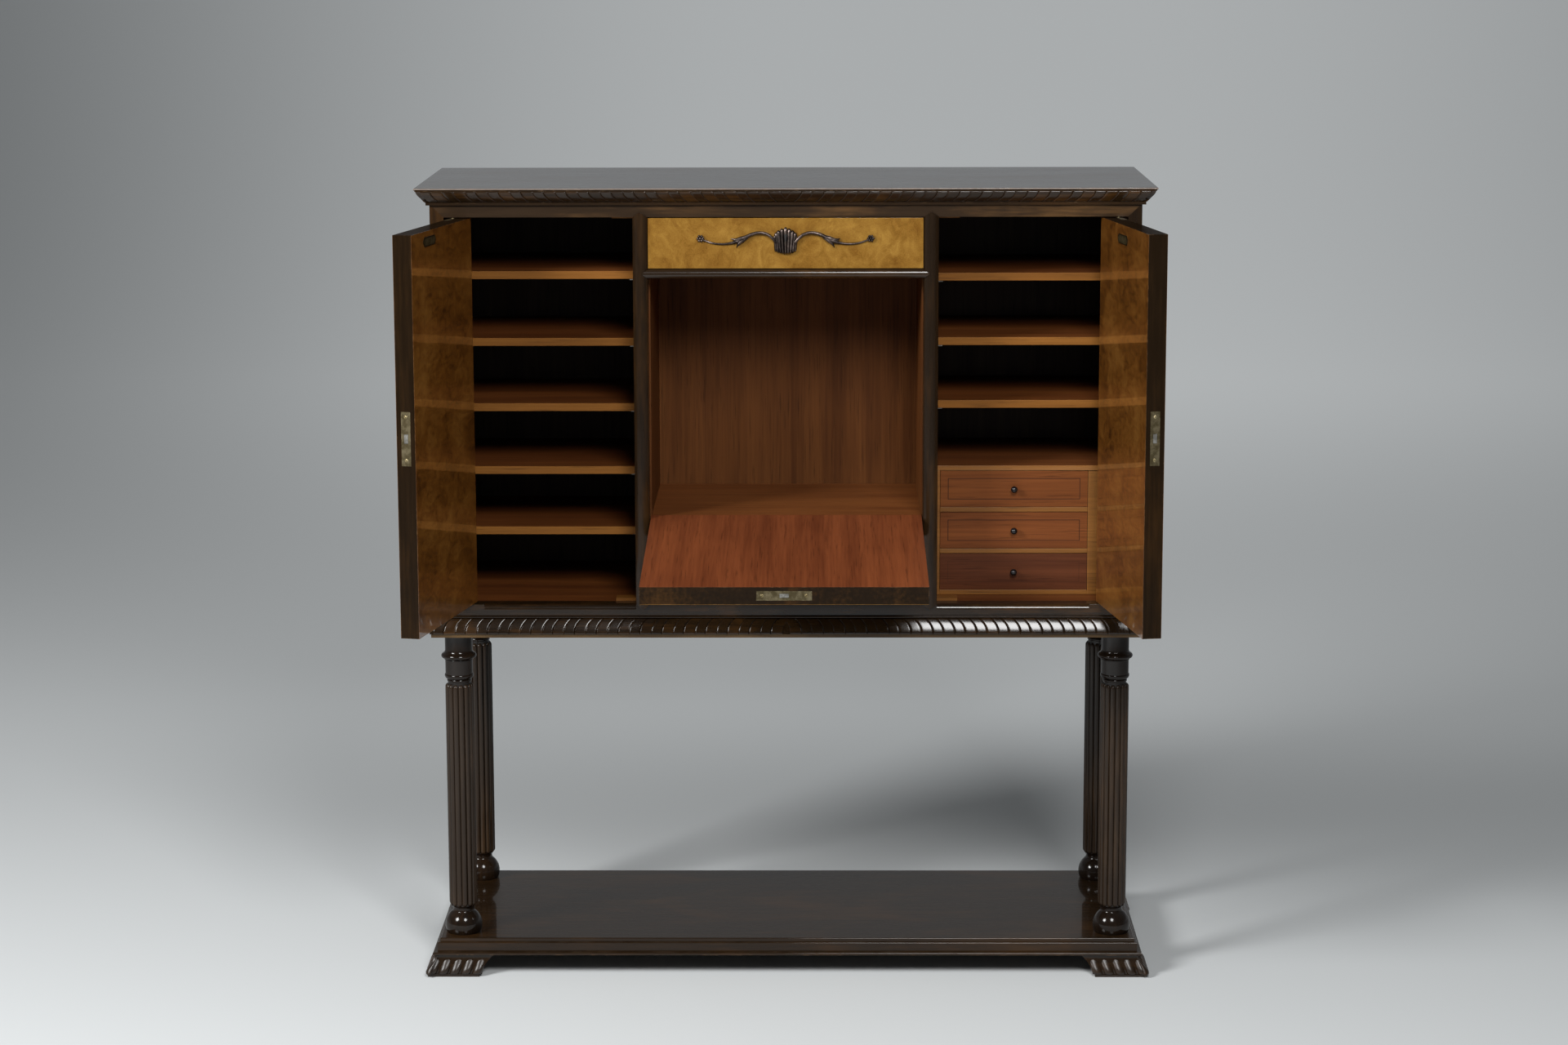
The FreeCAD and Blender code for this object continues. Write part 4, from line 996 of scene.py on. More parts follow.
@dataclass
class Moulding:
    """A carved moulding in three mitred runs: pairs of slanting lobes on a sunk ground."""

    node: str
    profile: Callable[[np.ndarray], np.ndarray]
    edges: Sequence[tuple[float, float]]
    lean: int
    pitch: float = 0.0355
    slant: float = 0.013
    bend: float = 1.0
    bends_high: bool = False
    crest: float = 0.0015
    thin_groove: float = 0.4
    broad_share: float = 0.53
    corner_gap: float = 0.010
    end_share: float = 0.1
    end_drop: float = 0.6
    flatness: float = 16.0
    soft_flatness: float = 10.0
    levels: int = 15
    tuck: float = 0.002
    lobe_spots: int = 17
    lobe_crowd: float = 0.6
    lobe_root: float = -0.45
    sharp_degrees: float = 24.0

    def carcass(self) -> tuple[float, float, float]:
        """Half the carcass width, its front face and its back face."""
        low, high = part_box("sub_top")
        return high.x, low.y, high.y

    def normals(self, line: np.ndarray) -> np.ndarray:
        """Outward normals along a profile line."""
        tangent = np.gradient(line, axis=0)
        normal = np.stack([tangent[:, 1], -tangent[:, 0]], axis=1)
        return normal / np.linalg.norm(normal, axis=1)[:, None]

    def ground_line(self) -> np.ndarray:
        """The profile sunk by the carving's depth, between its plain edges."""
        curve = self.profile(np.linspace(0, 1, self.levels))
        sunk = curve - self.normals(curve) * self.crest
        return np.concatenate([self.edges[0], sunk, self.edges[1]])

    def ground(self) -> bpy.types.Mesh:
        """The sunk moulding round the front and both sides."""
        half, front, back = self.carcass()
        line = self.ground_line()
        rows = np.empty((len(line), 4, 3))
        for row, (out, z) in zip(rows, line):
            row[:, 0] = (-half - out, -half - out, half + out, half + out)
            row[:, 1] = (back, front - out, front - out, back)
            row[:, 2] = z
        shape = Shape()
        inner = rows[[0, -1]].copy()
        inner[:, :, 0] = np.sign(inner[:, :, 0]) * (half - self.tuck)
        inner[:, 1:3, 1] = front + self.tuck
        loop = np.concatenate([inner[:1], rows, inner[1:]])
        shape.grid(np.concatenate([loop, loop[:1]]))
        for end in (0, 3):
            shape.cap(loop[:, end])
        return shape.mesh("moulding_ground")

    def lobe(self, broad: bool, sign: int, pitch: float) -> bpy.types.Mesh:
        """One lobe on a run along X that faces -Y.

        Args:
            broad: Whether it is the broad, flat lobe of a pair or the narrow, rounder one.
            sign: Which way the run goes from the middle of the front.
            pitch: Width of a pair.

        Returns:
            The lobe, at its place within the pair.
        """
        shares = np.linspace(0, 1, self.levels)
        curve = self.profile(shares)
        normal = self.normals(curve)
        ease = np.minimum(1.0, np.minimum(shares, 1 - shares) / self.end_share)
        ends = 1 - self.end_drop * (1 - np.sqrt(1 - (1 - ease) ** 2))
        across = np.linspace(-1, 1, self.lobe_spots)
        across = np.sign(across) * np.abs(across) ** self.lobe_crowd
        split = (self.broad_share - 0.5) * pitch
        left, right = (-pitch / 2, split) if broad else (split, pitch / 2)
        deep_side = across > 0 if broad else across < 0
        powers = np.where(deep_side, self.flatness, self.soft_flatness)
        depths = np.where(deep_side, 1.0, self.thin_groove)
        swell = np.concatenate([1 - depths * np.abs(across) ** powers, [self.lobe_root] * 2])
        spots = np.concatenate([across, [1.0, -1.0]])
        rings = np.empty((self.levels, len(spots), 3))
        for i, share in enumerate(shares):
            lift = self.crest * (swell * ends[i] - 1)
            place = (left + right) / 2 + spots * (right - left) / 2
            bent = share ** self.bend - 0.5 if self.bends_high else 0.5 - (1 - share) ** self.bend
            rings[i, :, 0] = sign * (place + self.lean * self.slant * bent)
            rings[i, :, 1] = -(curve[i, 0] + normal[i, 0] * lift)
            rings[i, :, 2] = curve[i, 1] + normal[i, 1] * lift
        shape = Shape()
        shape.tube(rings)
        return shape.mesh("lobe")

    def run_start(self) -> float:
        """How far the carving reaches past the carcass corner."""
        return float(self.profile(np.array([0.5]))[0, 0]) - self.corner_gap

    def carving(self, repeat: Repeat, broad: bool, finish: bpy.types.Material) -> list[bpy.types.Mesh]:
        """All lobes of a kind: from the middle of the front outwards, and back along the sides."""
        half, front, back = self.carcass()
        meshes = []
        front_length = half + self.run_start()
        side_length = back - front + self.run_start() - self.slant / 2
        for hand in Hand:
            sign = hand.value
            count = round(front_length / self.pitch)
            pitch = front_length / count
            start = Vector((sign * pitch / 2, front, 0.0))
            step = Vector((sign * pitch, 0.0, 0.0))
            meshes.append(repeat.make(self.lobe(broad, sign, pitch), finish, count, start, step))
            count = round(side_length / self.pitch)
            pitch = side_length / count
            start = Vector((sign * half, front - self.run_start() + pitch / 2, 0.0))
            step = Vector((0.0, pitch, 0.0))
            meshes.append(repeat.make(self.lobe(broad, sign, pitch), finish, count, start, step,
                                      turn=sign * math.pi / 2))
        return meshes

    def build(self, repeat: Repeat, ground: bpy.types.Material, lobes: bpy.types.Material) -> None:
        """Makes the carved moulding and puts it in its node's place."""
        base = sharpen(dressed(self.ground(), ground), self.sharp_degrees)
        broad = self.carving(repeat, True, lobes)
        narrow = self.carving(repeat, False, ground)
        mesh = joined(self.node, [base, *broad, *narrow])
        piece(f"{self.node}_carved", mesh, "cabinet", "stained_birch", self.node)


def cornice() -> Moulding:
    """The carved cornice below the top board."""
    low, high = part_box("cornice_moulding")
    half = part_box("sub_top")[1].x
    foot, lower_fillet, upper_fillet, swelling = 0.0055, 0.0042, 0.0020, 1.6
    inner = high.x - half - upper_fillet / 4

    def profile(shares: np.ndarray) -> np.ndarray:
        """A swelling line that leans out to the top."""
        out = foot + (inner - foot) * (1 - (1 - shares) ** swelling)
        rise = (high.z - low.z - lower_fillet - upper_fillet) * shares
        return np.stack([out, low.z + lower_fillet + rise], axis=1)

    lower = [(foot, low.z), (foot, low.z + lower_fillet)]
    upper = [(inner, high.z - upper_fillet), (inner, high.z)]
    return Moulding("cornice_moulding", profile, (lower, upper), lean=1, slant=0.0140, bend=1.7,
                    crest=0.0012, end_drop=0.5)


def torus() -> Moulding:
    """The carved cushion at the foot of the cabinet, with its bead."""
    low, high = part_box("torus_moulding")
    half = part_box("sub_top")[1].x
    reach, foot, bead, bead_reach = high.x - half, 0.004, 0.003, 0.0055
    top = high.z - bead
    turns = (math.radians(13), math.radians(35))
    radius = (top - low.z) / (math.sin(turns[1]) - math.sin(turns[0]))

    def profile(shares: np.ndarray) -> np.ndarray:
        """A gentle arc that leans back to the top."""
        angle = turns[0] + (turns[1] - turns[0]) * shares
        out = reach - radius * (math.cos(turns[0]) - np.cos(angle))
        return np.stack([out, low.z + radius * (np.sin(angle) - math.sin(turns[0]))], axis=1)

    angles = np.linspace(-math.pi / 2, math.pi / 2, 7)
    upper = [(foot, top)]
    upper += [(foot + (bead_reach - foot) * math.cos(a), top + bead / 2 * (1 + math.sin(a))) for a in angles]
    return Moulding("torus_moulding", profile, ([(foot, low.z)], upper), lean=-1, bend=2.3, bends_high=True,
                    end_share=0.08, end_drop=0.35)


# Bracket feet


@dataclass
class BracketFeet:
    """Four splayed bracket feet with slanting carved lobes and small pads."""

    length: float = 0.102
    wall: float = 0.024
    side_splay: float = 0.012
    front_splay: float = 0.0055
    pad_height: float = 0.0042
    pad_inset: float = 0.0035
    lobe_pitch: float = 0.0186
    lobe_count: int = 5
    lobe_slant: float = 0.012
    foot_share: float = 0.16
    full_share: float = 0.12
    tip_share: float = 0.9
    crest: float = 0.0072
    levels: int = 19
    stand_share: float = 0.16
    arm_share: float = 0.79
    arm_hollow: float = 2.2
    sink_share: float = 0.75
    foot_lead: float = 0.04
    tip_drop: float = 0.85
    lobe_spots: int = 15
    lobe_root: float = -0.3
    waist_share: float = 0.62
    swell_share: float = 0.3

    def splay(self, share: np.ndarray) -> np.ndarray:
        """How much of the splay is left at a share of the height."""
        rise = np.clip((share - self.stand_share) / (1 - self.stand_share), 0, 1)
        return 0.5 * (1 + np.cos(np.pi * rise))

    def reach(self, share: np.ndarray) -> np.ndarray:
        """Length of an arm at a share of the height, hollow at its end."""
        return self.length * (self.arm_share + (1 - self.arm_share) * share ** self.arm_hollow)

    def heights(self) -> np.ndarray:
        """Levels between the pad and the base board."""
        return np.linspace(self.pad_height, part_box("base_board")[0].z, self.levels)

    def body(self, hand: Hand, front: bool) -> bpy.types.Mesh:
        """One foot without its lobes."""
        heights = self.heights()
        shares = heights / heights[-1]
        sink = self.crest * self.sink_share
        rings = []
        for share, z in zip(shares, heights):
            side = self.side_splay * self.splay(share) - sink
            ahead = self.front_splay * self.splay(share) - sink if front else 0.0
            rings.append(self.loop(hand, front, side, ahead, self.reach(share), z))
        shape = Shape()
        shape.tube(np.array(rings))
        inset = self.pad_inset
        side = self.side_splay - inset
        ahead = self.front_splay - inset if front else -inset
        reach = self.reach(np.array(0.0)) - inset
        pad = [self.loop(hand, front, side, ahead, reach, z) for z in (0.0, self.pad_height)]
        shape.tube(np.array(pad))
        return shape.mesh("foot_body")

    def loop(self, hand: Hand, front: bool, side: float, ahead: float, reach: float,
             z: float) -> np.ndarray:
        """The L-shaped outline of a foot at one level."""
        low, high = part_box("base_board")
        wall = self.wall
        plan = [(-side, -ahead), (reach, -ahead), (reach, wall), (wall, wall), (wall, reach), (-side, reach)]
        points = []
        for across, deep in plan:
            x = hand.value * (high.x - across)
            y = low.y + deep if front else high.y - deep
            points.append((x, y, z))
        return np.array(points)

    def lobe(self, splay: float, lean: int) -> bpy.types.Mesh:
        """One lobe on an arm along X that faces -Y."""
        heights = self.heights()
        shares = heights / heights[-1]
        curve = np.stack([splay * self.splay(shares), heights], axis=1)
        across = np.sin(np.linspace(-math.pi / 2, math.pi / 2, self.lobe_spots))
        swell = np.concatenate([np.sqrt(1 - across ** 2), [self.lobe_root] * 2])
        spots = np.concatenate([across, [1.0, -1.0]])
        place = np.linspace(0, 1, self.levels)
        rise = np.clip((place + self.foot_lead) / self.foot_share, 0.0, 1.0)
        fall = np.clip((place - self.full_share) / (self.tip_share - self.full_share), 0.0, 1.0)
        ends = np.sqrt(1 - (1 - rise) ** 2) * (1 - self.tip_drop * fall ** 2 * (3 - 2 * fall))
        rings = np.empty((self.levels, len(spots), 3))
        for i in range(self.levels):
            lift = self.crest * (swell * ends[i] - 1)
            width = self.lobe_pitch / 2 * (self.waist_share + self.swell_share * ends[i])
            rings[i, :, 0] = spots * width + lean * self.lobe_slant * (place[i] - 0.5)
            rings[i, :, 1] = -(curve[i, 0] + lift)
            rings[i, :, 2] = curve[i, 1]
        shape = Shape()
        shape.tube(rings)
        return shape.mesh("foot_lobe")

    def carving(self, hand: Hand, front: bool, repeat: Repeat,
                finish: bpy.types.Material) -> list[bpy.types.Mesh]:
        """The lobes of one foot's visible arms."""
        low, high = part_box("base_board")
        sign = hand.value
        meshes = []
        first = self.lobe_pitch / 2 - self.side_splay / 2
        if front:
            start = Vector((sign * (high.x - first), low.y, 0.0))
            step = Vector((-sign * self.lobe_pitch, 0.0, 0.0))
            lobe = self.lobe(self.front_splay, -sign)
            meshes.append(repeat.make(lobe, finish, self.lobe_count, start, step))
        deep = low.y + first if front else high.y - (self.lobe_pitch + self.lobe_slant) / 2
        start = Vector((sign * high.x, deep, 0.0))
        step = Vector((0.0, self.lobe_pitch if front else -self.lobe_pitch, 0.0))
        lobe = self.lobe(self.side_splay, sign if front else -sign)
        count = self.lobe_count if front else self.lobe_count - 1
        meshes.append(repeat.make(lobe, finish, count, start, step, turn=sign * math.pi / 2))
        return meshes

    def build(self, repeat: Repeat, ground: bpy.types.Material, lobes: bpy.types.Material) -> None:
        """Makes all four feet and puts them in their node's place."""
        meshes = []
        for hand in Hand:
            for front in (True, False):
                meshes.append(sharpen(dressed(self.body(hand, front), ground)))
                meshes += self.carving(hand, front, repeat, lobes)
        mesh = joined("bracket_feet", meshes)
        piece("bracket_feet_carved", mesh, "cabinet", "stained_birch", "bracket_feet")


# Threshold


@dataclass
class Threshold:
    """The rail below the doors. Its upper arris is rounded between posts and pivot plates."""

    radius: float = 0.0085
    arris: float = 0.0004
    sink: float = 0.0001
    steps: int = 12

    def section(self, x: float, depth: float, radius: float) -> list[tuple[float, float, float]]:
        """The rail's outline at one place.

        Args:
            x: The place along the rail.
            depth: The rail's depth there.
            radius: The radius of its upper arris there.

        Returns:
            Points from the lower front edge round to the lower back edge.
        """
        low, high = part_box("threshold_rail")
        top, back = high.z - self.sink, low.y + depth
        turns = np.linspace(math.pi, math.pi / 2, self.steps)
        nose = [(x, low.y + radius * (1 + math.cos(a)), top - radius * (1 - math.sin(a))) for a in turns]
        return [(x, low.y, low.z), *nose, (x, back, top), (x, back, low.z)]

    def build(self, finish: bpy.types.Material) -> None:
        """Makes the rail and puts it in its node's place."""
        low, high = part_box("threshold_rail")
        depth, shallow = high.y - low.y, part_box("front_stiles")[1].y - low.y
        inner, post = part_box("floor_board")[1].x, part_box("front_posts")[1].x
        plates = frame["nodes"]["pivot_plates"].data.vertices
        plate = min(v.co.x for v in plates if v.co.x > 0 and v.co.z < high.z)
        half = [(post, depth, self.arris), (post, depth, self.radius), (plate, depth, self.radius),
                (plate, depth, self.arris), (inner, depth, self.arris), (inner, shallow, self.arris),
                (high.x, shallow, self.arris)]
        stops = [(-x, d, r) for x, d, r in reversed(half)] + half
        shape = Shape()
        shape.tube(np.array([self.section(*stop) for stop in stops]))
        mesh = sharpen(dressed(shape.mesh("threshold"), finish))
        piece("threshold_rail_rounded", mesh, "cabinet", "stained_birch", "threshold_rail")


# Shell handle


def sweep(path: np.ndarray, radii: np.ndarray, sides: int = 12) -> np.ndarray:
    """Rings of a round bar that bends in a plane facing -Y.

    Args:
        path: Points along the bar's middle.
        radii: Its radius at each point.
        sides: Points in each ring.

    Returns:
        The rings, as an array of rings, points and coordinates.
    """
    tangent = np.gradient(path, axis=0)
    tangent /= np.linalg.norm(tangent, axis=1)[:, None]
    out = np.cross(tangent, (0.0, 1.0, 0.0))
    out /= np.linalg.norm(out, axis=1)[:, None]
    up = np.cross(out, tangent)
    around = np.linspace(0, 2 * math.pi, sides, endpoint=False)[None, :, None]
    spread = np.cos(around) * out[:, None, :] + np.sin(around) * up[:, None, :]
    return path[:, None, :] + radii[:, None, None] * spread


def smooth_path(points: Sequence[Point], count: int) -> np.ndarray:
    """Evenly spread points on a smooth curve through a few points."""
    known = np.array(points)
    ends = np.concatenate([[2 * known[0] - known[1]], known, [2 * known[-1] - known[-2]]])
    places = np.linspace(0, len(known) - 1, count)
    index = np.minimum(places.astype(int), len(known) - 2)
    share = (places - index)[:, None]
    a, b, c, d = (ends[index + i] for i in range(4))
    bend = (2 * a - 5 * b + 4 * c - d) * share ** 2 + (3 * b - a - 3 * c + d) * share ** 3
    return b + 0.5 * ((c - a) * share + bend)


class Bar(NamedTuple):
    """A round bar on the drawer's face: places as (across, up), standoffs, radii and number of rings."""

    points: Sequence[tuple[float, float]]
    standoff: Sequence[float]
    radii: Sequence[float]
    count: int


ARM = Bar(
    ((0.015, 0.001), (0.021, 0.0085), (0.030, 0.0150), (0.0415, 0.0172), (0.054, 0.0146), (0.066, 0.0086),
     (0.077, 0.0032), (0.089, 0.0002), (0.102, -0.0010), (0.116, 0.0004), (0.128, 0.0042), (0.133, 0.0066)),
    (0.0040, 0.0046, 0.0050, 0.0050, 0.0046, 0.0040, 0.0032, 0.0024, 0.0020, 0.0020, 0.0024, 0.0030),
    (0.0023, 0.0023, 0.0024, 0.0024, 0.0027, 0.0034, 0.0030, 0.0019, 0.0016, 0.0015, 0.0014, 0.0014),
    60,
)
TIP_STANDOFF = (0.0040, 0.0040, 0.0036, 0.0026)
UPPER_TIP = Bar(((0.061, 0.0112), (0.070, 0.0082), (0.079, 0.0060), (0.0875, 0.0078)), TIP_STANDOFF,
                (0.0026, 0.0034, 0.0024, 0.0003), 18)
LOWER_TIP = Bar(((0.061, 0.0098), (0.068, 0.0046), (0.0745, -0.0006), (0.0782, -0.0072)), TIP_STANDOFF,
                (0.0024, 0.0030, 0.0022, 0.0003), 18)


@dataclass
class ShellHandle:
    """Cast pull of the top drawer: a fluted shell, two scrolled arms, leaves and berry ends."""

    rib_count: int = 9
    rib_half: float = 0.0029
    shell_top: float = 0.0262
    shell_bottom: float = -0.0172
    shell_fall: float = 0.0125
    foot_rise: float = 0.0036
    foot_spread: float = 0.0038
    head_half: float = 0.0160
    shell_reach: float = 0.0098
    head_set: float = 0.0036
    berry_count: int = 6
    berry_radius: float = 0.0022
    berry_ring: float = 0.0039
    berry_place: Point = (0.1358, 0.0030, 0.0079)
    berry_rows: int = 9
    berry_sides: int = 12
    rib_rows: int = 21
    rib_sides: int = 14
    rib_blunt: int = 8
    rib_least: float = 0.0025
    fall_power: float = 1.3
    side_flat: float = 0.4
    rib_foot: float = 0.8
    rib_swell: float = 0.42
    fan_power: float = 0.8
    key_radius: float = 0.0023
    key_slot: float = 0.0095
    key_eye: float = 0.0125
    key_half: float = 0.0010
    key_start: float = math.radians(-62)
    key_points: int = 15
    key_depth: tuple[float, float] = (-0.0066, -0.0079)

    def origin(self) -> Vector:
        """Middle of the drawer's front face, at the handle's height."""
        low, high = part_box("top_drawer_front")
        return Vector((0.0, low.y, (low.z + high.z) / 2))

    def ribs(self, shape: Shape) -> None:
        """Adds the shell's flutes, tallest in the middle and flared at the foot."""
        shares = np.linspace(0, 1, self.rib_rows)
        ends = np.sqrt(np.maximum(1 - np.abs(2 * shares - 1) ** self.rib_blunt, self.rib_least))
        around = np.linspace(0, 2 * math.pi, self.rib_sides, endpoint=False)
        middle = self.rib_count // 2
        for k in range(-middle, middle + 1):
            side = abs(k) / middle
            sign = (k > 0) - (k < 0)
            top = self.shell_top - self.shell_fall * side ** self.fall_power
            bottom = self.shell_bottom + self.foot_rise * side ** 2
            head = sign * self.head_half * math.sin(side * math.pi / 2)
            rings = np.empty((len(shares), len(around), 3))
            for ring, share, end in zip(rings, shares, ends):
                flare = (self.shell_reach - self.head_set * share) * (1 - self.side_flat * side ** 2)
                half = self.rib_half * (self.rib_foot + self.rib_swell * share) * end
                foot = k * self.foot_spread
                ring[:, 0] = foot + (head - foot) * share ** self.fan_power
                ring[:, 0] += half * np.cos(around)
                ring[:, 1] = -flare / 2 * (1 + end * np.sin(around))
                ring[:, 2] = bottom + (top - bottom) * share
            shape.tube(rings)

    def arm(self, shape: Shape, sign: int) -> None:
        """Adds one arm with its two leaf tips and its berries."""
        for bar in (ARM, UPPER_TIP, LOWER_TIP):
            self.bar(shape, sign, bar)
        across, out, up = self.berry_place
        self.berries(shape, Vector((sign * across, -out, up)))

    def bar(self, shape: Shape, sign: int, bar: Bar) -> None:
        """Adds a round bar, on one side of the shell."""
        spots = [(sign * x, -out, z) for (x, z), out in zip(bar.points, bar.standoff)]
        places, known = np.linspace(0, 1, bar.count), np.linspace(0, 1, len(bar.radii))
        shape.tube(sweep(smooth_path(spots, bar.count), np.interp(places, known, bar.radii)))

    def berries(self, shape: Shape, centre: Vector) -> None:
        """Adds a ring of small balls round a middle one."""
        places = [centre]
        for i in range(self.berry_count):
            angle = 2 * math.pi * i / self.berry_count
            places.append(centre + Vector((math.cos(angle), 0.0, math.sin(angle))) * self.berry_ring)
        for place in places:
            shares = np.linspace(-math.pi / 2, math.pi / 2, self.berry_rows)
            around = np.linspace(0, 2 * math.pi, self.berry_sides, endpoint=False)
            radius = self.berry_radius
            rings = np.empty((len(shares), len(around), 3))
            rings[..., 0] = place.x + radius * np.cos(shares)[:, None] * np.cos(around)
            rings[..., 1] = place.y + radius * np.cos(shares)[:, None] * np.sin(around)
            rings[..., 2] = (place.z + radius * np.sin(shares))[:, None]
            shape.grid(rings, wrap=True)

    def keyhole(self) -> bpy.types.Mesh:
        """The keyhole in the middle flute: a near-black plug, painted shade where the hole is."""
        eye, start = self.key_eye, self.key_start
        angles = np.linspace(start, math.pi - start, self.key_points)
        rim = [(self.key_radius * math.cos(a), eye + self.key_radius * math.sin(a)) for a in angles]
        rim += [(-self.key_half, eye - self.key_slot), (self.key_half, eye - self.key_slot)]
        rings = np.array([[(x, y, z) for x, z in rim] for y in self.key_depth])
        shape = Shape()
        shape.tube(rings)
        return shape.mesh("keyhole")

    def build(self, bronze: bpy.types.Material, dark: bpy.types.Material) -> None:
        """Makes the handle and puts it in its node's place."""
        shape = Shape()
        self.ribs(shape)
        for hand in Hand:
            self.arm(shape, hand.value)
        # The keyhole is a near-black plug: painted shade of the hole
        mesh = joined("handle", [dressed(shape.mesh("casting"), bronze),
                                 sharpen(dressed(self.keyhole(), dark))])
        mesh.transform(Matrix.Translation(self.origin()))
        piece("top_drawer_handle_cast", mesh, "top_drawer", "dark_bronze", "top_drawer_handle")


# Small metalwork


@dataclass
class Metalwork:
    """Screws of the lock plates, and bare plates inside the doors."""

    screw_radius: float = 0.0027
    screw_rise: float = 0.0006
    screw_slot: float = 0.0008
    screw_inset: float = 0.0085
    plate_length: float = 0.060
    plate_height: float = 0.0150
    plate_corner: float = 0.0055
    plate_rise: float = 0.0009
    plate_border: float = 0.0016
    plate_sink: float = 0.0002
    plate_edge_share: float = 0.7
    plate_field_share: float = 0.45
    screw_root: float = -0.0012
    screw_shoulder_share: float = 0.3
    screw_crown_share: float = 0.72
    screw_points: int = 11
    screw_turn: float = math.radians(35)
    slot_floor: tuple[float, float] = (-0.0014, -0.0004)
    slot_sides: int = 16

    def screw(self) -> bpy.types.Mesh:
        """A slotted screw head that faces +Z."""
        shape = Shape()
        for sign in (-1, 1):
            edge = math.asin(self.screw_slot / 2 / self.screw_radius)
            angles = np.linspace(edge, math.pi - edge, self.screw_points)
            rim = np.array([(self.screw_radius * math.cos(a), sign * self.screw_radius * math.sin(a))
                            for a in angles])
            middle = np.array([0.0, sign * self.screw_slot / 2])
            rings = []
            shoulder = self.screw_shoulder_share * self.screw_rise
            crown = (self.screw_rise, self.screw_crown_share)
            for z, share in ((self.screw_root, 1.0), (shoulder, 1.0), crown):
                spots = middle + (rim - middle) * share
                rings.append(np.column_stack([spots, np.full(len(spots), z)]))
            shape.tube(np.array(rings))
        shape.tube(np.array([[(self.screw_radius * math.cos(a), self.screw_radius * math.sin(a), z)
                              for a in np.linspace(0, 2 * math.pi, self.slot_sides, endpoint=False)]
                             for z in self.slot_floor]))
        return sharpen(shape.mesh("screw"))

    def lock_screws(self, name: str, hinge: Hinge, lock: str, face: Axis, sign: int, body: str,
                    repeat: Repeat, finish: bpy.types.Material) -> None:
        """Puts two screws in a lock's plate.

        Args:
            name: The piece's name.
            hinge: The leaf's hinge.
            lock: The lock's node.
            face: The axis that the plate faces when the leaf is shut.
            sign: Which way it faces.
            body: The leaf's body.
            repeat: The tree that repeats the screw.
            finish: The screws' material.
        """
        low, high = hinge.shut_box(lock)
        leaf_low, leaf_high = hinge.shut_box(lock.replace("lock", "panel"))
        run = Axis.Z if face is Axis.X else Axis.X
        place = (leaf_low + leaf_high) / 2
        place[face.value] = high[face.value] if sign > 0 else low[face.value]
        start, last = place.copy(), place.copy()
        start[run.value] = low[run.value] + self.screw_inset
        last[run.value] = high[run.value] - self.screw_inset
        normal = Vector()
        normal[face.value] = sign
        stand = Vector((0.0, 0.0, 1.0)).rotation_difference(normal).to_matrix().to_4x4()
        shape = self.screw()
        shape.transform(stand @ Matrix.Rotation(self.screw_turn, 4, "Z"))
        mesh = repeat.make(shape, finish, 2, start, last - start)
        mesh.transform(hinge.opening())
        piece(name, mesh, body, "brass")

    def bare_plate(self, name: str, hinge: Hinge, panel: str, across: float, up: float, body: str,
                   border: bpy.types.Material, ground: bpy.types.Material) -> None:
        """Puts a bare eight-sided plate on a door's inner face."""
        face = hinge.shut_box(panel)[1].y
        rim, inner = (self.octagon(across, up, inset) for inset in (0.0, self.plate_border))
        field_y = face + self.plate_rise * self.plate_field_share
        levels = ((rim, face - self.plate_sink), (rim, face + self.plate_rise * self.plate_edge_share),
                  (inner, face + self.plate_rise), (inner, field_y))
        shape = Shape()
        shape.tube(np.array([[(x, y, z) for x, z in outline] for outline, y in levels]))
        mesh = sharpen(dressed(shape.mesh("plate"), border))
        mesh.materials.append(ground)
        for polygon in mesh.polygons:
            flat = all(abs(mesh.vertices[i].co.y - field_y) < WELD for i in polygon.vertices)
            polygon.material_index = int(flat)
        mesh.transform(hinge.opening())
        piece(name, mesh, body, "brass")

    def octagon(self, across: float, up: float, inset: float) -> list[tuple[float, float]]:
        """The plate's outline about its middle."""
        half, tall, cut = self.plate_length / 2 - inset, self.plate_height / 2 - inset, self.plate_corner
        corners = [(half, tall - cut), (half - cut, tall), (cut - half, tall), (-half, tall - cut),
                   (-half, cut - tall), (cut - half, -tall), (half - cut, -tall), (half, cut - tall)]
        return [(across + x, up + z) for x, z in corners]


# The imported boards


@dataclass
class Boards:
    """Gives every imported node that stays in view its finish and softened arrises."""

    softness: float = 0.0009
    sharp: float = math.radians(40)
    segments: int = 3

    def soften(self, name: str) -> None:
        """Rounds a node's arrises."""
        node = frame["nodes"][name]
        weld = node.modifiers.new("weld", "WELD")
        weld.merge_threshold = WELD
        bevel = node.modifiers.new("arris", "BEVEL")
        bevel.width = self.softness
        bevel.segments = self.segments
        bevel.limit_method = "ANGLE"
        bevel.angle_limit = self.sharp
        even = node.modifiers.new("even", "WEIGHTED_NORMAL")
        even.keep_sharp = True

    def dress(self, finish: bpy.types.Material, *names: str, soft: bool = False) -> None:
        """Gives nodes a material, and softened arrises if asked."""
        for name in names:
            node = frame["nodes"][name]
            for slot in node.material_slots:
                slot.material = finish
            if soft:
                self.soften(name)
            log.info("%s: %s", name, finish.name)


def faced(finish: Finish, node: str, face: Finish, depth: float = 0.0012) -> Finish:
    """A finish with another one on the node's front faces."""
    return Split(Axis.Y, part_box(node)[0].y + depth, face, finish)


# The studio


class Lamp(NamedTuple):
    """A soft round lamp: its name, place, size and power."""

    name: str
    place: Point
    size: tuple[float, float]
    power: float


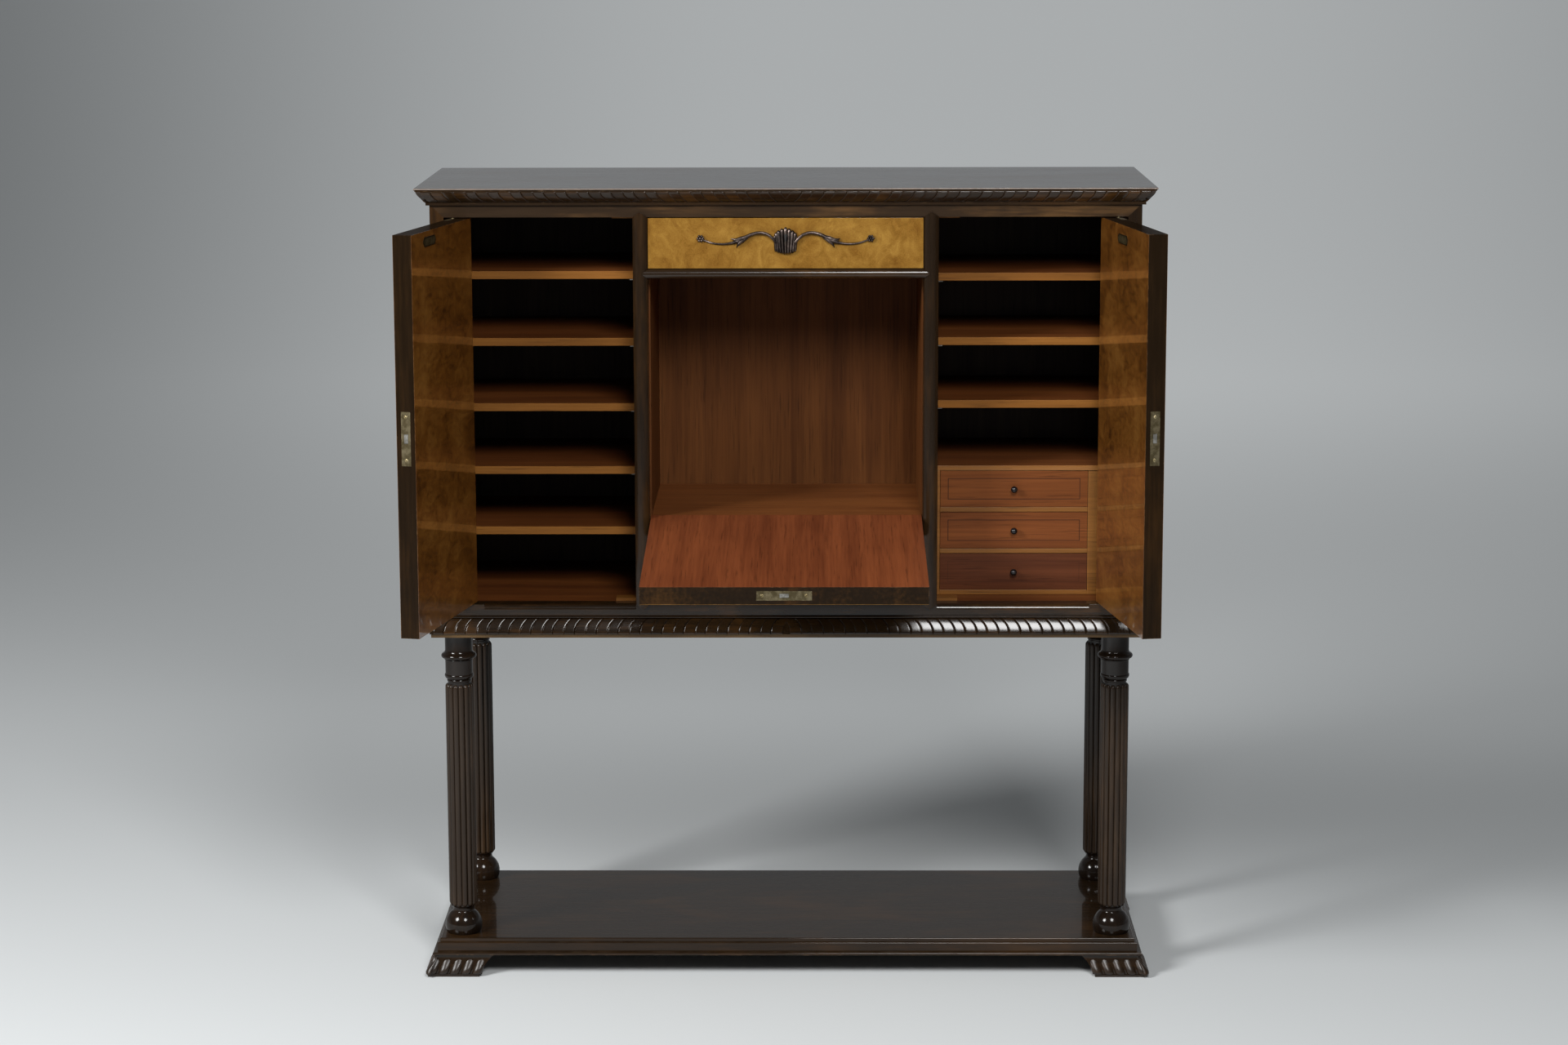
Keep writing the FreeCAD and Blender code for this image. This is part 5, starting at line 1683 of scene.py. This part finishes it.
@dataclass
class Studio:
    """Floor, lights, surroundings and camera."""

    focal: float = 80.19
    place: Point = (0.049085, -5.567306, 1.754990)
    pitch: float = math.radians(10.184368)
    yaw: float = math.radians(-0.543165)
    roll: float = math.radians(0.132240)
    floor_half: float = 150.0
    floor_colour: Colour = (0.653, 0.675, 0.680)
    # Painted light on the floor: its glow for camera and gloss rays near and far, and painted shade that
    # dims that glow to the left and right
    near_painted_glow: float = 0.18
    near_band: tuple[float, float] = (0.95, 2.0)
    far_painted_glow: float = 0.472
    far_band: tuple[float, float] = (2.6, 7.5)
    fan_back: float = 5.57
    left_band: tuple[float, float] = (0.0, 0.3)
    left_painted_shade: float = 0.85
    right_band: tuple[float, float] = (0.08, 0.36)
    right_painted_shade: float = 0.47
    air: Colour = (0.96, 1.0, 1.03)
    air_strength: float = 0.13
    front_strength: float = 0.08
    back_strength: float = 0.42
    high_share: float = 0.45
    seen_strength: float = 0.42
    back_band: tuple[float, float] = (-0.5, 0.5)
    high_band: tuple[float, float] = (0.06, 0.32)
    sensor: float = 36.0
    clip: float = 400.0
    floor_rough: float = 0.8
    floor_specular: float = 0.2
    aim: Point = (0.0, 0.1, 0.75)
    key: Lamp = Lamp("key", (-3.3, -2.55, 2.9), (1.5, 1.5), 207.0)
    fill: Lamp = Lamp("fill", (0.57, -3.3, 2.95), (1.2, 1.4), 114.0)

    def camera(self) -> None:
        """The camera at the photograph's place and angle."""
        data = bpy.data.cameras.new("camera")
        data.lens = self.focal
        data.sensor_width = self.sensor
        data.sensor_fit = "HORIZONTAL"
        data.clip_end = self.clip
        camera = bpy.data.objects.new("camera", data)
        bpy.context.scene.collection.objects.link(camera)
        sin_p, cos_p = math.sin(self.pitch), math.cos(self.pitch)
        sin_y, cos_y = math.sin(self.yaw), math.cos(self.yaw)
        level = Vector((cos_y, -sin_y, 0.0))
        ahead = Vector((sin_y * cos_p, cos_y * cos_p, -sin_p))
        rise = Vector((sin_y * sin_p, cos_y * sin_p, cos_p))
        right = math.cos(self.roll) * level - math.sin(self.roll) * rise
        up = math.sin(self.roll) * level + math.cos(self.roll) * rise
        turn = Matrix((right, up, -ahead)).transposed().to_4x4()
        camera.matrix_world = Matrix.Translation(self.place) @ turn
        bpy.context.scene.camera = camera

    def rays(self, tree: Tree) -> tuple[Field, Field]:
        """Whether a ray is the camera's, and whether it shows in gloss or through glass."""
        node = tree.add("ShaderNodeLightPath", {}, {}).socket.node
        camera, gloss, glass = (Field(tree, node.outputs[f"Is {kind} Ray"])
                                for kind in ("Camera", "Glossy", "Transmission"))
        return camera, gloss.most(glass)

    def floor(self) -> None:
        """A pale floor without an end. Painted light: for camera and gloss rays it glows, more with depth
        behind the cabinet and less to the left and right.
        """
        half = self.floor_half
        corners = [(-half, -half, 0.0), (half, -half, 0.0), (half, half, 0.0), (-half, half, 0.0)]
        mesh = bpy.data.meshes.new("floor")
        mesh.from_pydata(corners, [], [(0, 1, 2, 3)])
        shader = Shader("floor")
        camera, gloss = self.rays(shader)
        across, deep, _ = shader.parts(shader.point())
        near, far = shader.band(deep, *self.near_band), shader.band(deep, *self.far_band)
        fan = across / (deep + self.fan_back)
        left, right = shader.band(0.0 - fan, *self.left_band), shader.band(fan, *self.right_band)
        # Painted light: the floor's glow grows with depth behind the cabinet; painted shade takes it down to
        # the left and right
        lift = near * self.near_painted_glow + far * (self.far_painted_glow - self.near_painted_glow)
        lift = lift * (1.0 - self.left_painted_shade * left - self.right_painted_shade * right)
        inputs = {"Base Color": self.floor_colour, "Roughness": self.floor_rough,
                  "Specular IOR Level": self.floor_specular,
                  "Emission Color": shader.shade(self.floor_colour, lift * camera.most(gloss)),
                  "Emission Strength": 1.0}
        shader.show(shader.add("ShaderNodeBsdfPrincipled", {}, inputs))
        floor = bpy.data.objects.new("floor", dressed(mesh, shader.material))
        bpy.context.scene.collection.objects.link(floor)

    def world(self) -> None:
        """Grey surroundings, brighter behind the cabinet than before it."""
        world = bpy.data.worlds.new("studio")
        bpy.context.scene.world = world
        world.use_nodes = True
        world.node_tree.nodes.clear()
        tree = Tree(world.node_tree)
        camera, gloss = self.rays(tree)
        way = tree.add("ShaderNodeTexCoord", {}, {}, "Generated")
        node = tree.add("ShaderNodeSeparateXYZ", {}, {0: way}).socket.node
        back, high = (tree.add("ShaderNodeMapRange", {"interpolation_type": "SMOOTHSTEP"},
                               {"Value": Field(tree, node.outputs[name]), "From Min": low, "From Max": top})
                      for name, (low, top) in (("Y", self.back_band), ("Z", self.high_band)))
        dim = 1.0 - high * (1.0 - self.high_share)
        shown = self.front_strength + back * (dim * self.back_strength - self.front_strength)
        strength = self.air_strength + gloss * (shown - self.air_strength)
        strength = strength + camera * (self.seen_strength - strength)
        shade = tree.add("ShaderNodeBackground", {}, {"Color": self.air, "Strength": strength})
        output = tree.tree.nodes.new("ShaderNodeOutputWorld")
        tree.tree.links.new(shade.socket, output.inputs["Surface"])

    def light(self, lamp: Lamp) -> None:
        """Hangs a lamp that shines at the cabinet."""
        data = bpy.data.lights.new(lamp.name, "AREA")
        data.shape = "ELLIPSE"
        data.size, data.size_y = lamp.size
        data.energy = lamp.power
        item = bpy.data.objects.new(lamp.name, data)
        bpy.context.scene.collection.objects.link(item)
        item.location = lamp.place
        item.rotation_euler = (Vector(self.aim) - Vector(lamp.place)).to_track_quat("-Z", "Y").to_euler()

    def build(self) -> None:
        """Sets the whole studio up."""
        scene = bpy.context.scene
        scene.view_settings.view_transform = "Standard"
        self.camera()
        self.floor()
        self.world()
        self.light(self.key)
        self.light(self.fill)


# The finishes of this cabinet


DARK_STAIN = Polish(coat=0.5, coat_rough=0.2, specular=0.03, relief=0.00005)
RUBBED_STAIN = Polish(coat=0.8, coat_rough=0.17, specular=0.0, relief=0.00005)
TOP_POLISH = Polish(coat=0.42, coat_rough=0.12, specular=0.15, relief=0.00004)
BASE_POLISH = Polish(coat=0.58, coat_rough=0.05, specular=0.03, relief=0.00004)
TURNED_POLISH = Polish(coat=0.6, coat_rough=0.13, specular=0.0, relief=0.00003)
FOOT_POLISH = Polish(coat=0.9, coat_rough=0.34, specular=0.0, relief=0.00005)
SHAFT_POLISH = Polish(coat=0.5, coat_rough=0.14, specular=0.0, relief=0.00004)
EDGE_POLISH = Polish(coat=0.12, coat_rough=0.2, specular=0.0, relief=0.00005)
FRENCH_POLISH = Polish(coat=1.0, coat_rough=0.03, coat_index=1.75, specular=0.4, relief=0.00004)
DRAWER_POLISH = Polish(coat=0.35, coat_rough=0.1, specular=0.03, relief=0.00004)
SATIN = Polish(specular=0.25, relief=0.00007)
MATT = Polish(specular=0.1, relief=0.00007)
METAL = Polish(relief=0.00003, metallic=1.0)

FLAME = FiguredBirch((0.037, 0.0115, 0.0016), (0.130, 0.046, 0.0062), (0.215, 0.092, 0.0170),
                     (0.45, 1.0, 1.0), Noise(60.0, 5.0, 0.68, 1.4), (1.0, 1.0, 0.2))
BURL = FiguredBirch((0.105, 0.041, 0.0055), (0.190, 0.093, 0.0150), (0.285, 0.155, 0.0300),
                    (0.8, 1.0, 0.6), Noise(42.0, 5.0, 0.68, 1.4), (1.0, 1.0, 0.7),
                    cloud=Noise(15.0, 3.0, 0.55, 0.8), fleck_strength=0.2)
BAY = Mahogany(Axis.Z, (0.036, 0.024, 0.017), (0.068, 0.045, 0.031))
RED = Mahogany(Axis.X, (0.080, 0.023, 0.0065), (0.165, 0.053, 0.0130))
EDGE = Mahogany(Axis.X, (0.140, 0.053, 0.0092), (0.238, 0.095, 0.0178))
PALE = Mahogany(Axis.X, (0.16, 0.080, 0.026), (0.30, 0.165, 0.062))
FLAP_INSIDE = Mahogany(Axis.Z, (0.098, 0.024, 0.0085), (0.205, 0.056, 0.0185), gloss=0.36)
LINING = Mahogany(Axis.Z, (0.062, 0.0200, 0.0055), (0.135, 0.048, 0.0125))
DESK = Mahogany(Axis.X, (0.105, 0.031, 0.0085), (0.205, 0.070, 0.0185))
RAIL = StainedBirch(Axis.X, (0.024, 0.014, 0.0075), (0.105, 0.053, 0.0190), 0.8)
UPRIGHT = StainedBirch(Axis.Z, (0.0125, 0.0066, 0.0028), (0.070, 0.030, 0.0075), 0.4)
PALE_EDGE = StainedBirch(Axis.X, (0.065, 0.036, 0.013), (0.135, 0.078, 0.028), 0.8)
TURNED = StainedBirch(Axis.Z, (0.0085, 0.0052, 0.0034), (0.036, 0.018, 0.0075), 0.35)
REEDED = StainedBirch(Axis.Z, (0.022, 0.0135, 0.0080), (0.060, 0.033, 0.0155), 0.5)
BRASS = Metal((0.090, 0.070, 0.036), (0.205, 0.168, 0.100))
STEEL = Metal((0.20, 0.19, 0.17), (0.38, 0.37, 0.34))
BRONZE = Metal((0.036, 0.028, 0.025), (0.140, 0.108, 0.094), gloss=0.2)
SCREW = Metal((0.20, 0.155, 0.075), (0.42, 0.35, 0.20))
PLATE_GROUND = Metal((0.075, 0.058, 0.026), (0.14, 0.11, 0.055), gloss=0.42)
PLATE_BORDER = Metal((0.03, 0.024, 0.013), (0.07, 0.056, 0.030))
KNOB = Lacquer((0.006, 0.0055, 0.006), (0.02, 0.018, 0.017))
KNOB_POLISH = Polish(coat=1.0, coat_rough=0.03, specular=0.0, relief=0.00001)
# Near-black for the handle's keyhole plug: painted shade of the hole
KEYHOLE_SHADE = Lacquer((0.002, 0.002, 0.002), (0.004, 0.004, 0.004), 0.6)
LEAF_EDGE = (0.0115, 0.0064, 0.0030)
# Colour of the painted highlight line along the top board's upper arris
TOP_HIGHLIGHT = (0.30, 0.25, 0.22)
BASE_BARE = (0.040, 0.026, 0.016)

# Each small drawer's dark and light colour, and its stringing's strength
SMALL_DRAWERS = {
    "lower": ((0.066, 0.0195, 0.0078), (0.125, 0.039, 0.0145), 0.3),
    "middle": ((0.100, 0.029, 0.0080), (0.180, 0.055, 0.0145), 0.85),
    "upper": ((0.106, 0.031, 0.0080), (0.190, 0.060, 0.0150), 0.85),
}

# Depths of the skins, and places of the lighter lines from a board's edges: a painted highlight on the top
# board, lighter lines on the base's ledges and worn lines on the cornice
VENEER = 0.0006
SKIN = 0.001
TOP_HIGHLIGHT_LINE = 0.0011
BASE_LINES = (0.004, 0.0195)
BASE_LINE_WIDTH = 0.0003
CORNICE_LINES = (0.0036, 0.0008)
CORNICE_FLAKES = Noise(110.0, 4.0, 0.7)

# Between which values of its flakes a lighter line breaks off: the top's painted highlight, the base's lines
# and the cornice's worn lines
TOP_HIGHLIGHT_COVER = (0.1, 0.3)
BASE_COVER = (0.35, 0.8)
CORNICE_COVER = (0.56, 0.66)

# Middle of each door's bare plate when the door is shut, as (across, up)
PLATES = {"left_door": (-0.333, 1.2325), "right_door": (0.403, 1.2265)}


def stained(name: str, grain: Axis, warmth: float, polish: Polish = DARK_STAIN) -> bpy.types.Material:
    """The dark stained finish under a polish."""
    return material(name, StainedBirch(grain, warmth=warmth), polish)


def leaf(name: str, hinge: Hinge, panel: str, faces: tuple[Finish, Finish], polish: Polish,
         warmth: float = 0.15) -> bpy.types.Material:
    """A leaf's veneers on its two faces, and stain round its edges, laid out as if it were shut.

    Args:
        name: The material's name.
        hinge: What the leaf turns on.
        panel: Its node.
        faces: The finishes of its outer and inner face.
        polish: What lies over these.
        warmth: How far its edges are rubbed.

    Returns:
        The material.
    """
    shader = Shader(name)
    low, high = hinge.shut_box(panel)
    point = shader.turned(shader.point(), tuple(hinge.pivot), tuple(hinge.axis), hinge.shut)
    veneers = Split(Axis.Y, (low.y + high.y) / 2, *faces).paint(shader, point)
    stain = Worn(StainedBirch(Axis.Z, LEAF_EDGE, warmth=warmth), low, high).paint(shader, point)
    deep = shader.parts(point)[Axis.Y.value]
    inside = shader.band(deep, low.y, low.y + VENEER) - shader.band(deep, high.y - VENEER, high.y)
    inputs = {0: inside, 1: surface(shader, veneers, polish), 2: surface(shader, stain, EDGE_POLISH)}
    shader.show(shader.add("ShaderNodeMixShader", {}, inputs))
    return shader.material


def dress_boards() -> None:
    """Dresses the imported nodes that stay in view."""
    boards = Boards()
    top = Worn(StainedBirch(Axis.X, warmth=0.2), *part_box("top_board"))
    # The top board's upper arris gets a pale line: a painted highlight
    top = Lined(top, (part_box("top_board")[1].z - TOP_HIGHLIGHT_LINE,), TOP_HIGHLIGHT_COVER, bare=TOP_HIGHLIGHT)
    boards.dress(material("top_stain_and_highlight", top, TOP_POLISH), "top_board")
    base_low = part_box("base_board")[0].z
    base = Worn(StainedBirch(Axis.X, warmth=0.25), *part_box("base_board"))
    lines = tuple(base_low + line for line in BASE_LINES)
    base = Lined(base, lines, BASE_COVER, width=BASE_LINE_WIDTH, bare=BASE_BARE)
    boards.dress(material("base_stain", base, BASE_POLISH), "base_board")
    boards.dress(material("rail_stain", RAIL, DARK_STAIN), "top_rail", "sub_top", "apron_panel")
    boards.dress(stained("polished_rail", Axis.X, 0.8, polish=RUBBED_STAIN), "divider_rail")
    boards.dress(material("upright_stain", UPRIGHT, DARK_STAIN), "front_stiles", "front_posts")
    boards.dress(material("bottom_edge", PALE_EDGE, SATIN), "bottom_board")
    for hand in Hand:
        side = "left" if hand is Hand.LEFT else "right"
        node = f"side_{side}"
        low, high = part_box(node)
        outer = StainedBirch(Axis.Z, warmth=0.4)
        skins = (outer, BAY) if hand is Hand.LEFT else (BAY, outer)
        at = (high.x if hand is Hand.LEFT else low.x) + SKIN
        boards.dress(material(f"{node}_skin", Split(Axis.X, at, *skins), DARK_STAIN), node)
        hinge = Hinge.named(f"{side}_door_hinge")
        panel = f"{side}_door_panel"
        boards.dress(leaf(f"{panel}_veneer", hinge, panel, (FLAME, FLAME), FRENCH_POLISH), panel, soft=True)
        shelves = f"{side}_shelves"
        boards.dress(material(f"{shelves}_wood", faced(RED, shelves, EDGE), MATT), shelves, soft=True)
        boards.dress(material(f"partition_{side}_wood", BAY, SATIN), f"partition_{side}")
    flap = Hinge.named("flap_hinge")
    skin = leaf("flap_veneer", flap, "flap_panel", (BURL, FLAP_INSIDE), MATT, warmth=0.35)
    boards.dress(skin, "flap_panel", soft=True)
    boards.dress(material("drawer_burl", BURL, DRAWER_POLISH), "top_drawer_front", soft=True)
    back = Split(Axis.Y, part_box("back_panel")[1].y - SKIN, BAY, PALE)
    boards.dress(material("back_wood", back, SATIN), "back_panel")
    boards.dress(material("lining_wood", LINING, MATT), "interior_lining")
    boards.dress(material("desk_wood", DESK, MATT), "interior_floor")
    boards.dress(material("floor_wood", RED, MATT), "floor_board")
    boards.dress(material("case_wood", faced(RED, "drawer_case", EDGE), SATIN), "drawer_case", soft=True)
    boards.dress(material("pale_wood", PALE, SATIN), "dust_board", "top_drawer_box",
                 *(f"small_drawer_{place}_box" for place in SMALL_DRAWERS))
    boards.dress(material("stop_wood", EDGE, SATIN), "door_stops")
    knob = material("knob_lacquer", KNOB, KNOB_POLISH)
    for place, (dark, light, strength) in SMALL_DRAWERS.items():
        node = f"small_drawer_{place}_front"
        front = Strung(Mahogany(Axis.X, dark, light), *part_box(node), strength=strength)
        boards.dress(material(f"{node}_veneer", front, MATT), node, soft=True)
        boards.dress(knob, f"small_drawer_{place}_knob")
    brass = material("old_brass", BRASS, METAL)
    boards.dress(brass, "left_door_lock", "right_door_lock", "flap_lock", "top_drawer_lock", "flap_stud",
                 "left_door_pivot_leaves", "right_door_pivot_leaves", "flap_pivot_leaves", "pivot_plates")
    steel = material("old_steel", STEEL, METAL)
    boards.dress(steel, "left_door_bolt", "right_door_bolt", "flap_bolt", "top_drawer_bolt", "shelf_pegs")


def build_carving(repeat: Repeat) -> None:
    """Makes the carved and turned pieces."""
    low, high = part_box("cornice_moulding")
    lines = (low.z + CORNICE_LINES[0], high.z - CORNICE_LINES[1])
    ground_wood = Lined(StainedBirch(Axis.X, warmth=0.2), lines, CORNICE_COVER, flake=CORNICE_FLAKES)
    ground = material("carving_ground", ground_wood, RUBBED_STAIN)
    lobes = stained("carving_lobes", Axis.X, 0.75, polish=RUBBED_STAIN)
    high_lobes = stained("cornice_lobes", Axis.X, 0.75)
    foot_lobes = stained("foot_lobes", Axis.X, 0.6, polish=FOOT_POLISH)
    turned = material("turned_stain", TURNED, TURNED_POLISH)
    reeded = material("reeded_stain", REEDED, SHAFT_POLISH)
    cornice().build(repeat, ground, high_lobes)
    torus().build(repeat, ground, lobes)
    BracketFeet().build(repeat, ground, foot_lobes)
    Threshold().build(stained("threshold_stain", Axis.X, 0.7, polish=RUBBED_STAIN))
    for node in ("leg_front_left", "leg_front_right", "leg_rear_left", "leg_rear_right"):
        Column(node).build(repeat, turned, reeded)


def build_metalwork(repeat: Repeat) -> None:
    """Makes the cast handle, the screws and the bare plates."""
    bronze = material("dark_bronze", BRONZE, METAL)
    # Near-black for the keyhole plug: painted shade of the hole
    dark = material("keyhole_painted_shade", KEYHOLE_SHADE, Polish())
    ShellHandle().build(bronze, dark)
    metalwork = Metalwork()
    screw = material("screw_brass", SCREW, METAL)
    ground = material("plate_ground", PLATE_GROUND, METAL)
    border = material("plate_border", PLATE_BORDER, METAL)
    sets = (("left_door", "left_door", Axis.X, 1), ("right_door", "right_door", Axis.X, -1),
            ("flap", "fall_flap", Axis.Z, 1))
    for name, body, face, sign in sets:
        hinge, lock = Hinge.named(f"{name}_hinge"), f"{name}_lock"
        metalwork.lock_screws(f"{name}_screws", hinge, lock, face, sign, body, repeat, screw)
    for name, (across, up) in PLATES.items():
        hinge, panel = Hinge.named(f"{name}_hinge"), f"{name}_panel"
        metalwork.bare_plate(f"{name}_plate", hinge, panel, across, up, name, border, ground)


def main() -> None:
    """Builds every piece in order."""
    logging.basicConfig(level=logging.INFO, format="%(message)s")
    Studio().build()
    dress_boards()
    repeat = Repeat()
    build_carving(repeat)
    build_metalwork(repeat)


if __name__ == "__main__":
    main()
